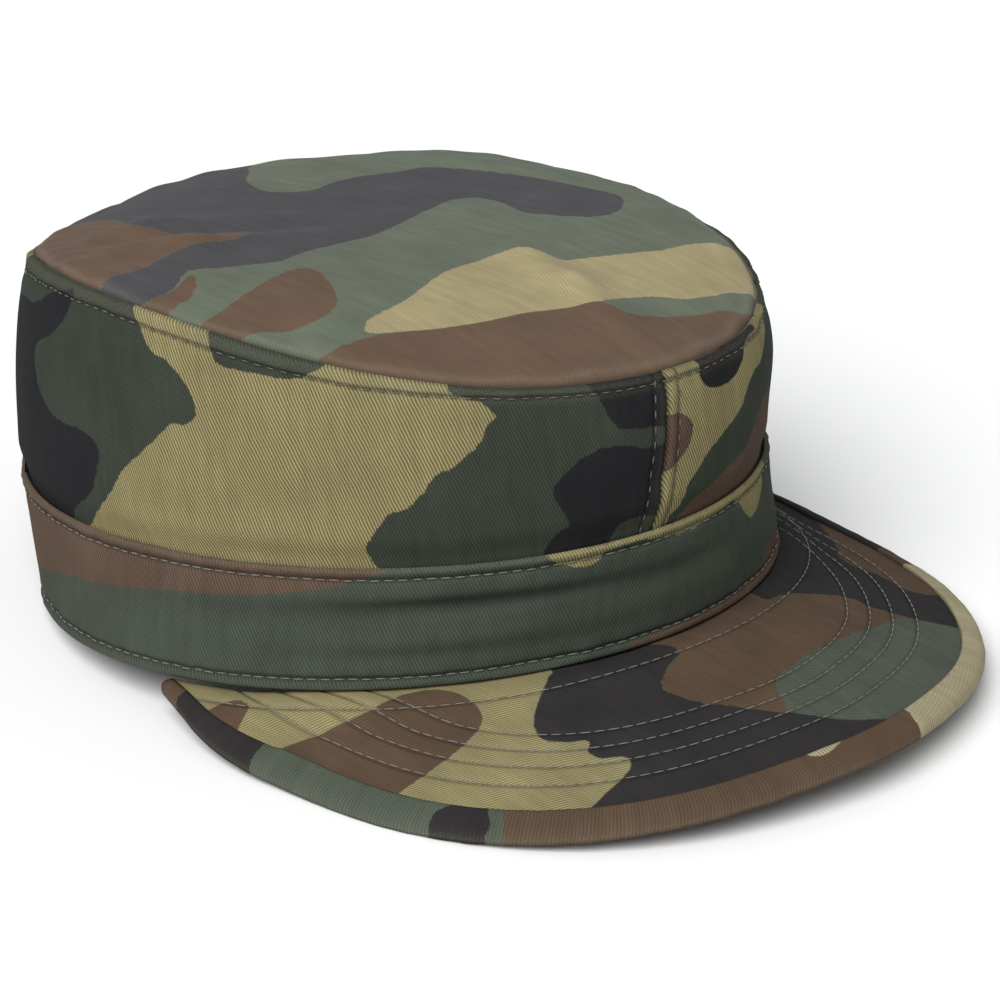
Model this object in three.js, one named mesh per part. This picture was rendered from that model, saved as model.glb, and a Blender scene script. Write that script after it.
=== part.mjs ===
import * as THREE from 'three';

// Fatigue cap, resting on its rear rim and on the low sides of its visor.
// Millimetres and degrees, +Z up, the visor towards -Y, the wearer's left towards +X.
// Shapes are worked out in the cap's own frame: the lower rim lies in the plane z = 0
// round the origin, and an angle runs from the front (0) towards the wearer's left.
// The whole cap is then tipped back by REST_TILT and lifted until it meets the floor.

// resting pose
const REST_TILT = 5.7;
const RIM_LIFT = 9.3;
const CENTRE_SHIFT_Y = 28.15;

// plan ovals of the cap's outer face: half widths across (x) and along (y)
const RIM = { halfX: 95.5, halfY: 102.0 };
const BAND_TOP = { halfX: 91.0, halfY: 105.9 };
const TOP_SEAM = { halfX: 89.9, halfY: 104.5 };

// how each oval departs from a true one: share of the radius by wave number
const RIM_WAVES = [
  { wave: 1, cos: 0.008, sin: 0.005 },
  { wave: 2, cos: -0.017, sin: 0.005 },
  { wave: 3, cos: 0.003, sin: 0.012 },
];
const BAND_TOP_WAVES = [
  { wave: 1, cos: -0.006, sin: -0.006 },
  { wave: 2, cos: -0.004, sin: 0.014 },
  { wave: 3, cos: 0.003, sin: -0.004 },
];
const TOP_SEAM_WAVES = [
  { wave: 1, cos: 0.0, sin: 0.0096 },
  { wave: 2, cos: 0.0024, sin: 0.005 },
  { wave: 3, cos: -0.0014, sin: 0.0 },
];

// height of the seam round the top: low at the front, highest at the wearer's right
const SEAM_HEIGHT = 81.4;
const SEAM_HEIGHT_WAVES = [
  { wave: 1, cos: -5.6, sin: -4.9 },
  { wave: 2, cos: -6.3, sin: -0.2 },
  { wave: 3, cos: 0.8, sin: 0.8 },
  { wave: 4, cos: 0.7, sin: -0.3 },
];

// swells of that seam, and one place where it stands further in
const SEAM_RISES = [
  { centre: -116, spread: 23, amount: 1.4 },
  { centre: 120, spread: 16, amount: 2.8 },
  { centre: 158, spread: 28, amount: 4.8 },
];
const SEAM_INSETS = [
  { centre: -130, spread: 20, amount: 5.0 },
];

// cloth and gaps
const BAND_HEIGHT = 31.4;
const BAND_THICKNESS = 1.7;
const RIM_THICKNESS = 2.1;
const LIP_PROUD = 0.5;
const SIDE_THICKNESS = 1.6;
const TOP_THICKNESS = 1.5;
const GAP = 0.3;

// crown sides
const FOOT_DEPTH = 6.0;
const BULGE = 1.4;
const BULGE_FRONT = 0.6;
const BULGE_LEFT = 0.7;
const SETBACK_FADE = 8.0;
const SEAM_HALF_ANGLE = 0.14;
const FRONT_SEAM_ANGLE = -5.9;

// crown top
const DOME_RISE = 9.0;
const DOME_POWER = 5;
const TOP_FOLDS = [
  { x0: -63, y0: 58, x1: -33, y1: 50, spread: 6, rise: 1.6 },
  { x0: -33, y0: 50, x1: -7, y1: 24, spread: 6, rise: 1.6 },
  { x0: -63, y0: 31, x1: -45, y1: 21, spread: 6, rise: 1.8 },
  { x0: -45, y0: 21, x1: -1, y1: 4, spread: 6, rise: 1.6 },
  { x0: 58, y0: 40, x1: 74, y1: 6, spread: 7, rise: 1.2 },
  { x0: 15, y0: -36, x1: 7, y1: -63, spread: 6, rise: 1.7 },
  { x0: 7, y0: -63, x1: -3, y1: -86, spread: 5, rise: 1.4 },
  { x0: -50, y0: 46, x1: -10, y1: 20, spread: 6, rise: -1.6 },
  { x0: 24, y0: -50, x1: 16, y1: -84, spread: 8, rise: -1.2 },
];

// soft dents of the crown sides: centre, spread and depth of each
const SIDE_DENTS = [
  { angle: -66, height: 46, spreadAngle: 9, spreadHeight: 7, depth: 1.1 },
  { angle: -84, height: 52, spreadAngle: 7, spreadHeight: 10, depth: -0.9 },
  { angle: -40, height: 54, spreadAngle: 12, spreadHeight: 6, depth: 0.8 },
  { angle: -112, height: 70, spreadAngle: 9, spreadHeight: 12, depth: 0.9 },
  { angle: 28, height: 50, spreadAngle: 8, spreadHeight: 9, depth: 0.7 },
  { angle: 95, height: 58, spreadAngle: 12, spreadHeight: 10, depth: 1.4 },
  { angle: 150, height: 52, spreadAngle: 10, spreadHeight: 9, depth: 1.1 },
  { angle: -152, height: 54, spreadAngle: 9, spreadHeight: 9, depth: 1.0 },
];

// creases and swells of the band
const BAND_DENTS = [
  { angle: -42, height: 16, spreadAngle: 22, spreadHeight: 3.2, depth: 1.0 },
  { angle: -42, height: 9, spreadAngle: 24, spreadHeight: 3, depth: -0.5 },
  { angle: -5, height: 14, spreadAngle: 12, spreadHeight: 4, depth: 0.7 },
  { angle: -95, height: 15, spreadAngle: 12, spreadHeight: 5, depth: 0.5 },
  { angle: 120, height: 16, spreadAngle: 25, spreadHeight: 4, depth: 0.7 },
];

// visor: the outline is a rounded figure of this power, the surface slopes and droops
const VISOR = { halfX: 106.5, halfY: 113.3, centreY: -53.1, power: 2.25 };
const VISOR_END_ANGLE = 84;
const VISOR_CORNER = { x: 98.5, y: -12 };
const VISOR_LEVEL = -0.6;
const VISOR_SLOPE = 0.1876;
const VISOR_DROOP = 0.00182;
const VISOR_TIP_DROP = 4.2;
const VISOR_RIM_Y = 104;
const VISOR_LENGTH = 70;
const VISOR_THICKNESS = 2.4;
const VISOR_ROOT_REACH = 18;
const VISOR_UNDER_RIM = 2.5;
const FLANGE_HEIGHT = 5.0;
const FLANGE_THICKNESS = 1.5;
const CORNER_SHARE = 0.09;

// how far the sewn edge strays from that outline, by place along the visor
const VISOR_SWELLS = [
  { centre: -0.95, spread: 0.07, amount: 1.5 },
  { centre: -0.6, spread: 0.25, amount: 1.0 },
  { centre: 0, spread: 0.13, amount: 1.8 },
  { centre: 0.46, spread: 0.18, amount: -2.3 },
  { centre: 0.95, spread: 0.07, amount: 1.8 },
];

// binding round the visor's edge
const BINDING_WIDTH = 7.8;
const BINDING_THICKNESS = 0.9;
const BINDING_END_SHARE = 0.4;

// facets
const RING_STEPS = 72;
const SIDE_STEPS = 37;
const TOP_RINGS = [0.16, 0.34, 0.52, 0.68, 0.8, 0.89, 0.95, 1.0];
const VISOR_STEPS = 56;
const VISOR_ROWS = [0, 0.15, 0.36, 0.6, 0.82];

const DEG = Math.PI / 180;

function smooth(t) {
  const u = Math.min(1, Math.max(0, t));
  return u * u * (3 - 2 * u);
}

function mix(a, b, t) {
  return a + (b - a) * t;
}

function waves(table, angle) {
  let sum = 0;
  for (const w of table) {
    sum += w.cos * Math.cos(w.wave * angle * DEG) + w.sin * Math.sin(w.wave * angle * DEG);
  }
  return sum;
}

// plan point of an oval at an angle
function ovalPoint(oval, table, angle) {
  const r = 1 + waves(table, angle);
  return { x: oval.halfX * r * Math.sin(angle * DEG), y: -oval.halfY * r * Math.cos(angle * DEG) };
}

function outward(p, angle, d) {
  return { x: p.x + d * Math.sin(angle * DEG), y: p.y - d * Math.cos(angle * DEG) };
}

function mixPoint(p, q, t) {
  return { x: mix(p.x, q.x, t), y: mix(p.y, q.y, t) };
}

const rimPoint = (angle) => ovalPoint(RIM, RIM_WAVES, angle);
const bandTopPoint = (angle) => ovalPoint(BAND_TOP, BAND_TOP_WAVES, angle);
const topOvalPoint = (angle) => ovalPoint(TOP_SEAM, TOP_SEAM_WAVES, angle);

function wrapAngle(a) {
  return a - 360 * Math.round(a / 360);
}

function swell(table, place) {
  let sum = 0;
  for (const t of table) {
    const u = (place - t.centre) / t.spread;
    sum += t.amount * Math.exp(-u * u);
  }
  return sum;
}

function swellRound(table, angle) {
  let sum = 0;
  for (const t of table) {
    const u = wrapAngle(angle - t.centre) / t.spread;
    sum += t.amount * Math.exp(-u * u);
  }
  return sum;
}

const seamInset = (angle) => swellRound(SEAM_INSETS, angle);
const seamPoint = (angle) => outward(topOvalPoint(angle), angle, -seamInset(angle));
const seamHeight = (angle) =>
  SEAM_HEIGHT + waves(SEAM_HEIGHT_WAVES, angle) + swellRound(SEAM_RISES, angle);

function dents(table, angle, height) {
  let sum = 0;
  for (const d of table) {
    const u = wrapAngle(angle - d.angle) / d.spreadAngle;
    const v = (height - d.height) / d.spreadHeight;
    sum -= d.depth * Math.exp(-u * u - v * v);
  }
  return sum;
}

// the band's outer face at a height
function bandFace(angle, z) {
  return mixPoint(rimPoint(angle), bandTopPoint(angle), z / BAND_HEIGHT);
}

// the crown side's outer face; v runs from the band's top edge (0) to the top seam (1)
function sideFace(angle, v) {
  const rise = seamHeight(angle) - BAND_HEIGHT;
  const z = BAND_HEIGHT + rise * v;
  const straight = mixPoint(bandTopPoint(angle), topOvalPoint(angle), v);
  const bulge = BULGE + BULGE_FRONT * Math.cos(angle * DEG) + BULGE_LEFT * Math.sin(angle * DEG);
  const round = bulge * Math.sin(Math.PI * Math.pow(v, 1.6));
  const setback = (BAND_THICKNESS + GAP) * (1 - smooth((z - BAND_HEIGHT) / SETBACK_FADE));
  const fade = smooth(v / 0.25) * smooth((1 - v) / 0.15);
  const soft = fade * dents(SIDE_DENTS, angle, z) - seamInset(angle) * Math.pow(v, 5);
  const p = outward(straight, angle, round - setback + soft);
  return { x: p.x, y: p.y, z };
}

// into the resting pose; cloth that would go through the floor lies flat on it
function rest(p) {
  const c = Math.cos(REST_TILT * DEG);
  const s = Math.sin(REST_TILT * DEG);
  const y = p.y * c + p.z * s + CENTRE_SHIFT_Y;
  const z = -p.y * s + p.z * c + RIM_LIFT;
  return new THREE.Vector3(p.x, y, Math.max(0, z));
}

// a closed solid from loops of points; the loops are joined in order,
// and the row of loops closes on itself or is capped at both ends
function solidFromLoops(loops, closed) {
  const count = loops[0].length;
  const points = [];
  const index = [];
  for (const loop of loops) {
    for (const p of loop) {
      points.push(p.x, p.y, p.z);
    }
  }
  const last = closed ? loops.length : loops.length - 1;
  for (let i = 0; i < last; i++) {
    const a = i * count;
    const b = ((i + 1) % loops.length) * count;
    for (let j = 0; j < count; j++) {
      const k = (j + 1) % count;
      index.push(a + j, b + j, b + k);
      index.push(a + j, b + k, a + k);
    }
  }
  if (!closed) {
    capLoop(points, index, 0, count, false);
    capLoop(points, index, (loops.length - 1) * count, count, true);
  }
  return toGeometry(points, index);
}

// the end of an open row: a thin section is a ladder between its two long sides
function capLoop(points, index, start, count, flip) {
  let low = 0;
  let high = count - 1;
  while (high - low > 1) {
    pushTriangle(index, start + low, start + low + 1, start + high, flip);
    low += 1;
    if (high - low > 1) {
      pushTriangle(index, start + low, start + high - 1, start + high, flip);
      high -= 1;
    }
  }
}

function pushTriangle(index, a, b, c, flip) {
  if (flip) {
    index.push(a, c, b);
  } else {
    index.push(a, b, c);
  }
}

function toGeometry(points, index) {
  const g = new THREE.BufferGeometry();
  g.setAttribute('position', new THREE.Float32BufferAttribute(points, 3));
  g.setIndex(index);
  if (signedVolume(points, index) < 0) {
    for (let i = 0; i < index.length; i += 3) {
      [index[i + 1], index[i + 2]] = [index[i + 2], index[i + 1]];
    }
    g.setIndex(index);
  }
  g.computeVertexNormals();
  return g;
}

function signedVolume(points, index) {
  let v = 0;
  for (let i = 0; i < index.length; i += 3) {
    const [a, b, c] = [index[i] * 3, index[i + 1] * 3, index[i + 2] * 3];
    v += points[a] * (points[b + 1] * points[c + 2] - points[b + 2] * points[c + 1]);
    v -= points[a + 1] * (points[b] * points[c + 2] - points[b + 2] * points[c]);
    v += points[a + 2] * (points[b] * points[c + 1] - points[b + 1] * points[c]);
  }
  return v;
}

// head band: a strip with a rolled lip at its top and bottom edges
function bandLoop(angle) {
  const top = BAND_HEIGHT;
  const outer = [
    { z: 0, out: -0.7 },
    { z: 0.9, out: 0 },
    { z: 2.0, out: 0 },
    { z: 3.2, out: -LIP_PROUD },
    { z: 9, out: -0.2 },
    { z: 13, out: -0.2 },
    { z: 17, out: -0.2 },
    { z: 23, out: -0.2 },
    { z: top - 3.4, out: -LIP_PROUD },
    { z: top - 2.2, out: 0 },
    { z: top - 0.8, out: 0 },
    { z: top, out: -0.6 },
  ];
  const inner = [
    { z: top, out: -BAND_THICKNESS + 0.3 },
    { z: top - 1.2, out: -BAND_THICKNESS },
    { z: 23, out: -BAND_THICKNESS },
    { z: 13, out: -RIM_THICKNESS },
    { z: 0, out: -RIM_THICKNESS },
  ];
  const loop = [];
  for (const s of outer.concat(inner)) {
    const isWall = s.z > 2.5 && s.z < top - 3;
    const dent = isWall ? dents(BAND_DENTS, angle, s.z) : 0;
    const p = outward(bandFace(angle, s.z), angle, s.out + dent);
    loop.push(rest({ x: p.x, y: p.y, z: s.z }));
  }
  return loop;
}

function buildBand() {
  const loops = [];
  for (let i = 0; i < RING_STEPS; i++) {
    loops.push(bandLoop((360 * i) / RING_STEPS));
  }
  return solidFromLoops(loops, true);
}

// crown side: from a foot behind the band up to the top seam
function sideLoop(angle) {
  const loop = [];
  const foot = [0, 0.5];
  for (const f of foot) {
    const z = BAND_HEIGHT - FOOT_DEPTH * (1 - f);
    const p = outward(bandFace(angle, z), angle, -BAND_THICKNESS - GAP);
    loop.push(rest({ x: p.x, y: p.y, z }));
  }
  for (const v of [0.02, 0.14, 0.28, 0.44, 0.6, 0.76, 0.88, 0.96]) {
    loop.push(rest(sideFace(angle, v)));
  }
  const edge = seamPoint(angle);
  const h = seamHeight(angle);
  const round = [
    { out: 0.1, z: h - 0.5 },
    { out: -0.5, z: h + 0.2 },
    { out: -SIDE_THICKNESS, z: h + 0.2 },
    { out: -SIDE_THICKNESS - 0.1, z: h - 1.6 },
  ];
  for (const r of round) {
    const p = outward(edge, angle, r.out);
    loop.push(rest({ x: p.x, y: p.y, z: r.z }));
  }
  for (const v of [0.86, 0.72, 0.56, 0.4, 0.24, 0.1, 0.02]) {
    const f = sideFace(angle, v);
    const p = outward(f, angle, -SIDE_THICKNESS);
    loop.push(rest({ x: p.x, y: p.y, z: f.z }));
  }
  const zFoot = BAND_HEIGHT - FOOT_DEPTH;
  const p = outward(bandFace(angle, zFoot), angle, -BAND_THICKNESS - GAP - SIDE_THICKNESS);
  loop.push(rest({ x: p.x, y: p.y, z: zFoot }));
  return loop;
}

function buildSide(sign) {
  const loops = [];
  const first = FRONT_SEAM_ANGLE + sign * SEAM_HALF_ANGLE;
  const last = sign * (180 - SEAM_HALF_ANGLE);
  for (let i = 0; i < SIDE_STEPS; i++) {
    loops.push(sideLoop(mix(first, last, i / (SIDE_STEPS - 1))));
  }
  return solidFromLoops(loops, false);
}

function segmentDistance(x, y, f) {
  const dx = f.x1 - f.x0;
  const dy = f.y1 - f.y0;
  const t = Math.min(1, Math.max(0, ((x - f.x0) * dx + (y - f.y0) * dy) / (dx * dx + dy * dy)));
  return Math.hypot(x - f.x0 - t * dx, y - f.y0 - t * dy);
}

// the crown top's upper face: seam heights carried inwards, a dome and soft folds
function topFace(r, angle) {
  const edge = outward(seamPoint(angle), angle, -SIDE_THICKNESS - GAP);
  const x = edge.x * r;
  const y = edge.y * r;
  let z = SEAM_HEIGHT + DOME_RISE * (1 - Math.pow(r, DOME_POWER));
  for (const w of SEAM_HEIGHT_WAVES) {
    const a = w.wave * angle * DEG;
    z += Math.pow(r, w.wave) * (w.cos * Math.cos(a) + w.sin * Math.sin(a));
  }
  z += Math.pow(r, 3) * swellRound(SEAM_RISES, angle);
  const fade = smooth((1 - r) / 0.2);
  for (const f of TOP_FOLDS) {
    const d = segmentDistance(x, y, f) / f.spread;
    z += fade * f.rise * Math.exp(-d * d);
  }
  return { x, y, z };
}

function buildTop() {
  const points = [];
  const index = [];
  const rows = TOP_RINGS.length;
  const place = (p) => {
    const q = rest(p);
    points.push(q.x, q.y, q.z);
  };
  const layer = (drop) => {
    const start = points.length / 3;
    const centre = topFace(0, 0);
    place({ x: centre.x, y: centre.y, z: centre.z - drop });
    for (const r of TOP_RINGS) {
      for (let i = 0; i < RING_STEPS; i++) {
        const p = topFace(r, (360 * i) / RING_STEPS);
        place({ x: p.x, y: p.y, z: p.z - drop });
      }
    }
    return start;
  };
  const cover = (start, flip) => {
    for (let i = 0; i < RING_STEPS; i++) {
      const k = (i + 1) % RING_STEPS;
      pushTriangle(index, start, start + 1 + i, start + 1 + k, flip);
      for (let row = 0; row < rows - 1; row++) {
        const a = start + 1 + row * RING_STEPS;
        const b = a + RING_STEPS;
        pushTriangle(index, a + i, b + i, b + k, flip);
        pushTriangle(index, a + i, b + k, a + k, flip);
      }
    }
  };
  const upper = layer(0);
  const lower = layer(TOP_THICKNESS);
  cover(upper, false);
  cover(lower, true);
  const edgeA = upper + 1 + (rows - 1) * RING_STEPS;
  const edgeB = lower + 1 + (rows - 1) * RING_STEPS;
  for (let i = 0; i < RING_STEPS; i++) {
    const k = (i + 1) % RING_STEPS;
    pushTriangle(index, edgeA + i, edgeB + i, edgeB + k, false);
    pushTriangle(index, edgeA + i, edgeB + k, edgeA + k, false);
  }
  return toGeometry(points, index);
}

// plan outline of the visor's outer edge; s runs from the wearer's right (-1) to the left (1)
function visorEdge(s) {
  const side = Math.sign(s);
  const m = Math.abs(s);
  const corner = 1 - CORNER_SHARE;
  if (m > corner) {
    const t = (m - corner) / CORNER_SHARE;
    const x = mix(VISOR.halfX, VISOR_CORNER.x, t * t);
    return { x: side * x, y: mix(VISOR.centreY, VISOR_CORNER.y, t) };
  }
  const a = (90 * m / corner) * DEG;
  const sn = Math.sin(a);
  const cs = Math.cos(a);
  const r = Math.pow(Math.pow(sn, VISOR.power) + Math.pow(cs, VISOR.power), -1 / VISOR.power);
  return { x: side * VISOR.halfX * r * sn, y: VISOR.centreY - VISOR.halfY * r * cs };
}

// outline moved inwards by d, square to the edge
function visorEdgeInset(s, d) {
  const step = 0.002;
  const a = visorEdge(Math.max(-1, s - step));
  const b = visorEdge(Math.min(1, s + step));
  const length = Math.hypot(b.x - a.x, b.y - a.y);
  const p = visorEdge(s);
  const e = d - swell(VISOR_SWELLS, s);
  return { x: p.x - (e * (b.y - a.y)) / length, y: p.y + (e * (b.x - a.x)) / length };
}

// middle of the visor's thickness over a plan point; root is how near the rim it is, 0 to 1,
// and at the corners it hangs lower so that the binding clears the band
function visorHeight(s, x, y, root) {
  const out = Math.max(0, (-y - VISOR_RIM_Y) / VISOR_LENGTH);
  const free = VISOR_LEVEL + VISOR_SLOPE * (y + VISOR_RIM_Y) - VISOR_DROOP * x * x
    - VISOR_TIP_DROP * out * out;
  const corner = smooth((Math.abs(s) - 0.7) / 0.15);
  const held = -GAP - VISOR_THICKNESS / 2 - corner * (GAP + BINDING_THICKNESS + 0.2);
  return mix(free, held, root);
}

function visorRoot(s) {
  const angle = s * VISOR_END_ANGLE;
  return outward(rimPoint(angle), angle, -VISOR_UNDER_RIM);
}

// height at a plan point that belongs to place s along the visor
function visorPoint(s, p, lift) {
  const root = visorRoot(s);
  const d = Math.hypot(p.x - root.x, p.y - root.y);
  return { x: p.x, y: p.y, z: visorHeight(s, p.x, p.y, 1 - smooth(d / VISOR_ROOT_REACH)) + lift };
}

// how far in the binding reaches at place s; it narrows at the corners
function bindingReach(s) {
  return BINDING_WIDTH * mix(1, BINDING_END_SHARE, smooth((Math.abs(s) - 0.86) / 0.14));
}

// the visor's inner edge turns up inside the band as a short flange
function buildVisor() {
  const half = VISOR_THICKNESS / 2;
  const loops = [];
  for (let i = 0; i <= VISOR_STEPS; i++) {
    const s = mix(-1, 1, i / VISOR_STEPS);
    const reach = bindingReach(s);
    const root = visorRoot(s);
    const rows = VISOR_ROWS.map((v) => mixPoint(root, visorEdgeInset(s, reach), v));
    for (const inset of [reach, (reach + BINDING_THICKNESS) / 2, BINDING_THICKNESS + GAP]) {
      rows.push(visorEdgeInset(s, inset));
    }
    const upper = rows.map((p) => rest(visorPoint(s, p, half)));
    const lower = rows.map((p) => rest(visorPoint(s, p, -half)));
    const angle = s * VISOR_END_ANGLE;
    const back = outward(root, angle, -FLANGE_THICKNESS);
    const high = outward(bandFace(angle, FLANGE_HEIGHT), angle, -VISOR_UNDER_RIM);
    const highBack = outward(high, angle, -FLANGE_THICKNESS);
    upper.unshift(rest({ x: high.x, y: high.y, z: FLANGE_HEIGHT }));
    lower[0] = rest({ x: back.x, y: back.y, z: visorPoint(s, root, -half).z });
    lower.unshift(rest({ x: highBack.x, y: highBack.y, z: FLANGE_HEIGHT }));
    loops.push(upper.concat(lower.reverse()));
  }
  return solidFromLoops(loops, false);
}

// the strip wrapped round the visor's edge
function buildBinding() {
  const inside = VISOR_THICKNESS / 2 + GAP;
  const outside = inside + BINDING_THICKNESS;
  const loops = [];
  for (let i = 0; i <= VISOR_STEPS; i++) {
    const s = mix(-1, 1, i / VISOR_STEPS);
    const reach = bindingReach(s);
    const middle = (reach + BINDING_THICKNESS) / 2;
    const rows = [
      { inset: reach, lift: inside },
      { inset: reach, lift: outside - 0.2 },
      { inset: reach - 1, lift: outside },
      { inset: middle - 0.5, lift: outside },
      { inset: 1.2, lift: outside * 0.9 },
      { inset: 0.3, lift: outside * 0.5 },
      { inset: 0.0, lift: 0 },
      { inset: 0.3, lift: -outside * 0.5 },
      { inset: 1.2, lift: -outside * 0.9 },
      { inset: middle - 0.5, lift: -outside },
      { inset: reach - 1, lift: -outside },
      { inset: reach, lift: -outside + 0.2 },
      { inset: reach, lift: -inside },
      { inset: middle, lift: -inside },
      { inset: BINDING_THICKNESS, lift: -inside },
      { inset: BINDING_THICKNESS, lift: inside },
      { inset: middle, lift: inside },
    ];
    loops.push(rows.map((r) => rest(visorPoint(s, visorEdgeInset(s, r.inset), r.lift))));
  }
  return solidFromLoops(loops, false);
}

function cloth(hex, roughness) {
  return new THREE.MeshStandardMaterial({ color: hex, roughness, metalness: 0 });
}

function node(name, geometry, material) {
  const mesh = new THREE.Mesh(geometry, material);
  mesh.name = name;
  return mesh;
}

const cap = new THREE.Group();
cap.name = 'fatigue_cap';
cap.add(node('band', buildBand(), cloth(0x3f4a3e, 0.92)));
cap.add(node('crown_side_right', buildSide(-1), cloth(0x8a835c, 0.92)));
cap.add(node('crown_side_left', buildSide(1), cloth(0x44503f, 0.92)));
cap.add(node('crown_top', buildTop(), cloth(0x5d6653, 0.94)));
cap.add(node('visor', buildVisor(), cloth(0x5c4436, 0.92)));
cap.add(node('visor_binding', buildBinding(), cloth(0x4b3a30, 0.93)));

export default cap;
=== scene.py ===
import math

import bpy
import numpy as np
from mathutils import Matrix, Vector


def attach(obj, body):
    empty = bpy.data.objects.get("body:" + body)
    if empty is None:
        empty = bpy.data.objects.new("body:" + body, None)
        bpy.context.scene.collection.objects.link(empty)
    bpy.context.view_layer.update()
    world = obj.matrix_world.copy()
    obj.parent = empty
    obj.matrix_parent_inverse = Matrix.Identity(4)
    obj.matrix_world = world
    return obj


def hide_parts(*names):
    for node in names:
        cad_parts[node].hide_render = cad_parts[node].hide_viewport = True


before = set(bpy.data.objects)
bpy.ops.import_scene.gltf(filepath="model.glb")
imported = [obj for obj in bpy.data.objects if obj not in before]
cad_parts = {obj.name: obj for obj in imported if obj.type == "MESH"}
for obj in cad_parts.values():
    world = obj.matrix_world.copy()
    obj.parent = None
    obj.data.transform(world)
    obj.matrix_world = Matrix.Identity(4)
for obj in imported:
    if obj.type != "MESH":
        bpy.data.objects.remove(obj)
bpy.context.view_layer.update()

# Lengths are in millimetres and angles in degrees until a mesh is made.
MM = 0.001

# camera
CAMERA_AZIMUTH = -46.956
CAMERA_ELEVATION = 23.541
CAMERA_ROLL = 0.277
CAMERA_PLACE = (-696.3, -657.7, 450.75)
FOCAL_SHARE = 3.96335
SENSOR_WIDTH = 36.0
# in metres
CLIP_START = 0.05

# the cap's shape, as in the part's source
REST_TILT = 5.7
RIM_LIFT = 9.3
CENTRE_SHIFT_Y = 28.15

RIM = (95.5, 102.0)
BAND_TOP = (91.0, 105.9)
TOP_SEAM = (89.9, 104.5)
RIM_WAVES = ((1, 0.008, 0.005), (2, -0.017, 0.005), (3, 0.003, 0.012))
BAND_TOP_WAVES = ((1, -0.006, -0.006), (2, -0.004, 0.014), (3, 0.003, -0.004))
TOP_SEAM_WAVES = ((1, 0.0, 0.0096), (2, 0.0024, 0.005), (3, -0.0014, 0.0))
SEAM_HEIGHT = 81.4
SEAM_HEIGHT_WAVES = ((1, -5.6, -4.9), (2, -6.3, -0.2), (3, 0.8, 0.8), (4, 0.7, -0.3))
# place, spread, amount
SEAM_RISES = ((-116, 23, 1.4), (120, 16, 2.8), (158, 28, 4.8))
SEAM_INSETS = ((-130, 20, 5.0),)

BAND_HEIGHT = 31.4
BAND_THICKNESS = 1.7
BAND_THICKNESS_AT_RIM = 2.0
BAND_ROLL = 0.9
SIDE_THICKNESS = 1.6
TOP_THICKNESS = 1.5
GAP = 0.3
FOOT_DEPTH = 6.0
BULGE = 1.4
BULGE_FRONT = 0.6
BULGE_LEFT = 0.7
SETBACK_FADE = 8.0
# the side's height with its foot, near enough to lean the front seam
SIDE_REACH = 60
FRONT_SEAM = (-7.7, -4.1)
SEAM_GAP = 0.10

DOME_RISE = 9.0
DOME_POWER = 5
TOP_RADIUS = 96
# x0, y0, x1, y1, spread, rise
TOP_FOLDS = (
    (-63, 58, -33, 50, 7, 1.15),
    (-33, 50, -7, 24, 7, 1.15),
    (-63, 31, -45, 21, 7, 1.3),
    (-45, 21, -1, 4, 7, 1.15),
    (58, 40, 74, 6, 7, 1.2),
    (15, -36, 7, -63, 6, 1.7),
    (7, -63, -3, -86, 5, 1.4),
    (-50, 46, -10, 20, 7, -1.2),
    (24, -50, 16, -84, 8, -1.2),
)
# angle, height, spread of angle, spread of height, depth
SIDE_DENTS = (
    (-66, 46, 9, 7, 1.1),
    (-84, 52, 7, 10, -0.9),
    (-40, 54, 12, 6, 0.8),
    (-112, 70, 9, 12, 0.9),
    (28, 50, 8, 9, 0.7),
    (95, 58, 12, 10, 1.4),
    (150, 52, 10, 9, 1.1),
    (-152, 54, 9, 9, 1.0),
)
BAND_DENTS = (
    (-40, 21, 20, 2.0, 2.2),
    (-44, 9, 18, 2.2, 0.6),
    (-42, 12, 24, 4, -0.5),
    (-5, 18, 12, 3.4, 1.0),
    (-95, 15, 12, 5, 0.5),
    (120, 16, 25, 4, 0.7),
)

VISOR_HALF = (106.5, 113.3)
VISOR_CENTRE_Y = -53.1
VISOR_POWER = 2.25
VISOR_END_ANGLE = 84
VISOR_CORNER = (98.5, -12)
VISOR_LEVEL = -0.6
VISOR_SLOPE = 0.1876
VISOR_DROOP = 0.00182
VISOR_TIP_DROP = 4.2
VISOR_RIM_Y = 104
VISOR_LENGTH = 70
VISOR_THICKNESS = 2.4
VISOR_ROOT_REACH = 18
VISOR_UNDER_RIM = 2.5
CORNER_SHARE = 0.09
BINDING_WIDTH = 7.8
BINDING_THICKNESS = 0.9
BINDING_GAP = 0.15
BINDING_LIP = 0.1
BINDING_END_SHARE = 0.5
BINDING_LEFT_SHARE = 0.78
# shares of the strip's reach and of its rise, where it turns round the visor's edge
BINDING_TURN = ((0.28, 0.97), (0.16, 0.86), (0.08, 0.68), (0.03, 0.42))
# place, spread, amount
VISOR_SWELLS = (
    (-0.95, 0.07, 1.5), (-0.6, 0.25, 1.0), (0.0, 0.13, 1.8), (0.46, 0.18, -2.3), (0.95, 0.07, 1.8),
)

# sewing
STITCH_PITCH = 3.5
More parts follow.
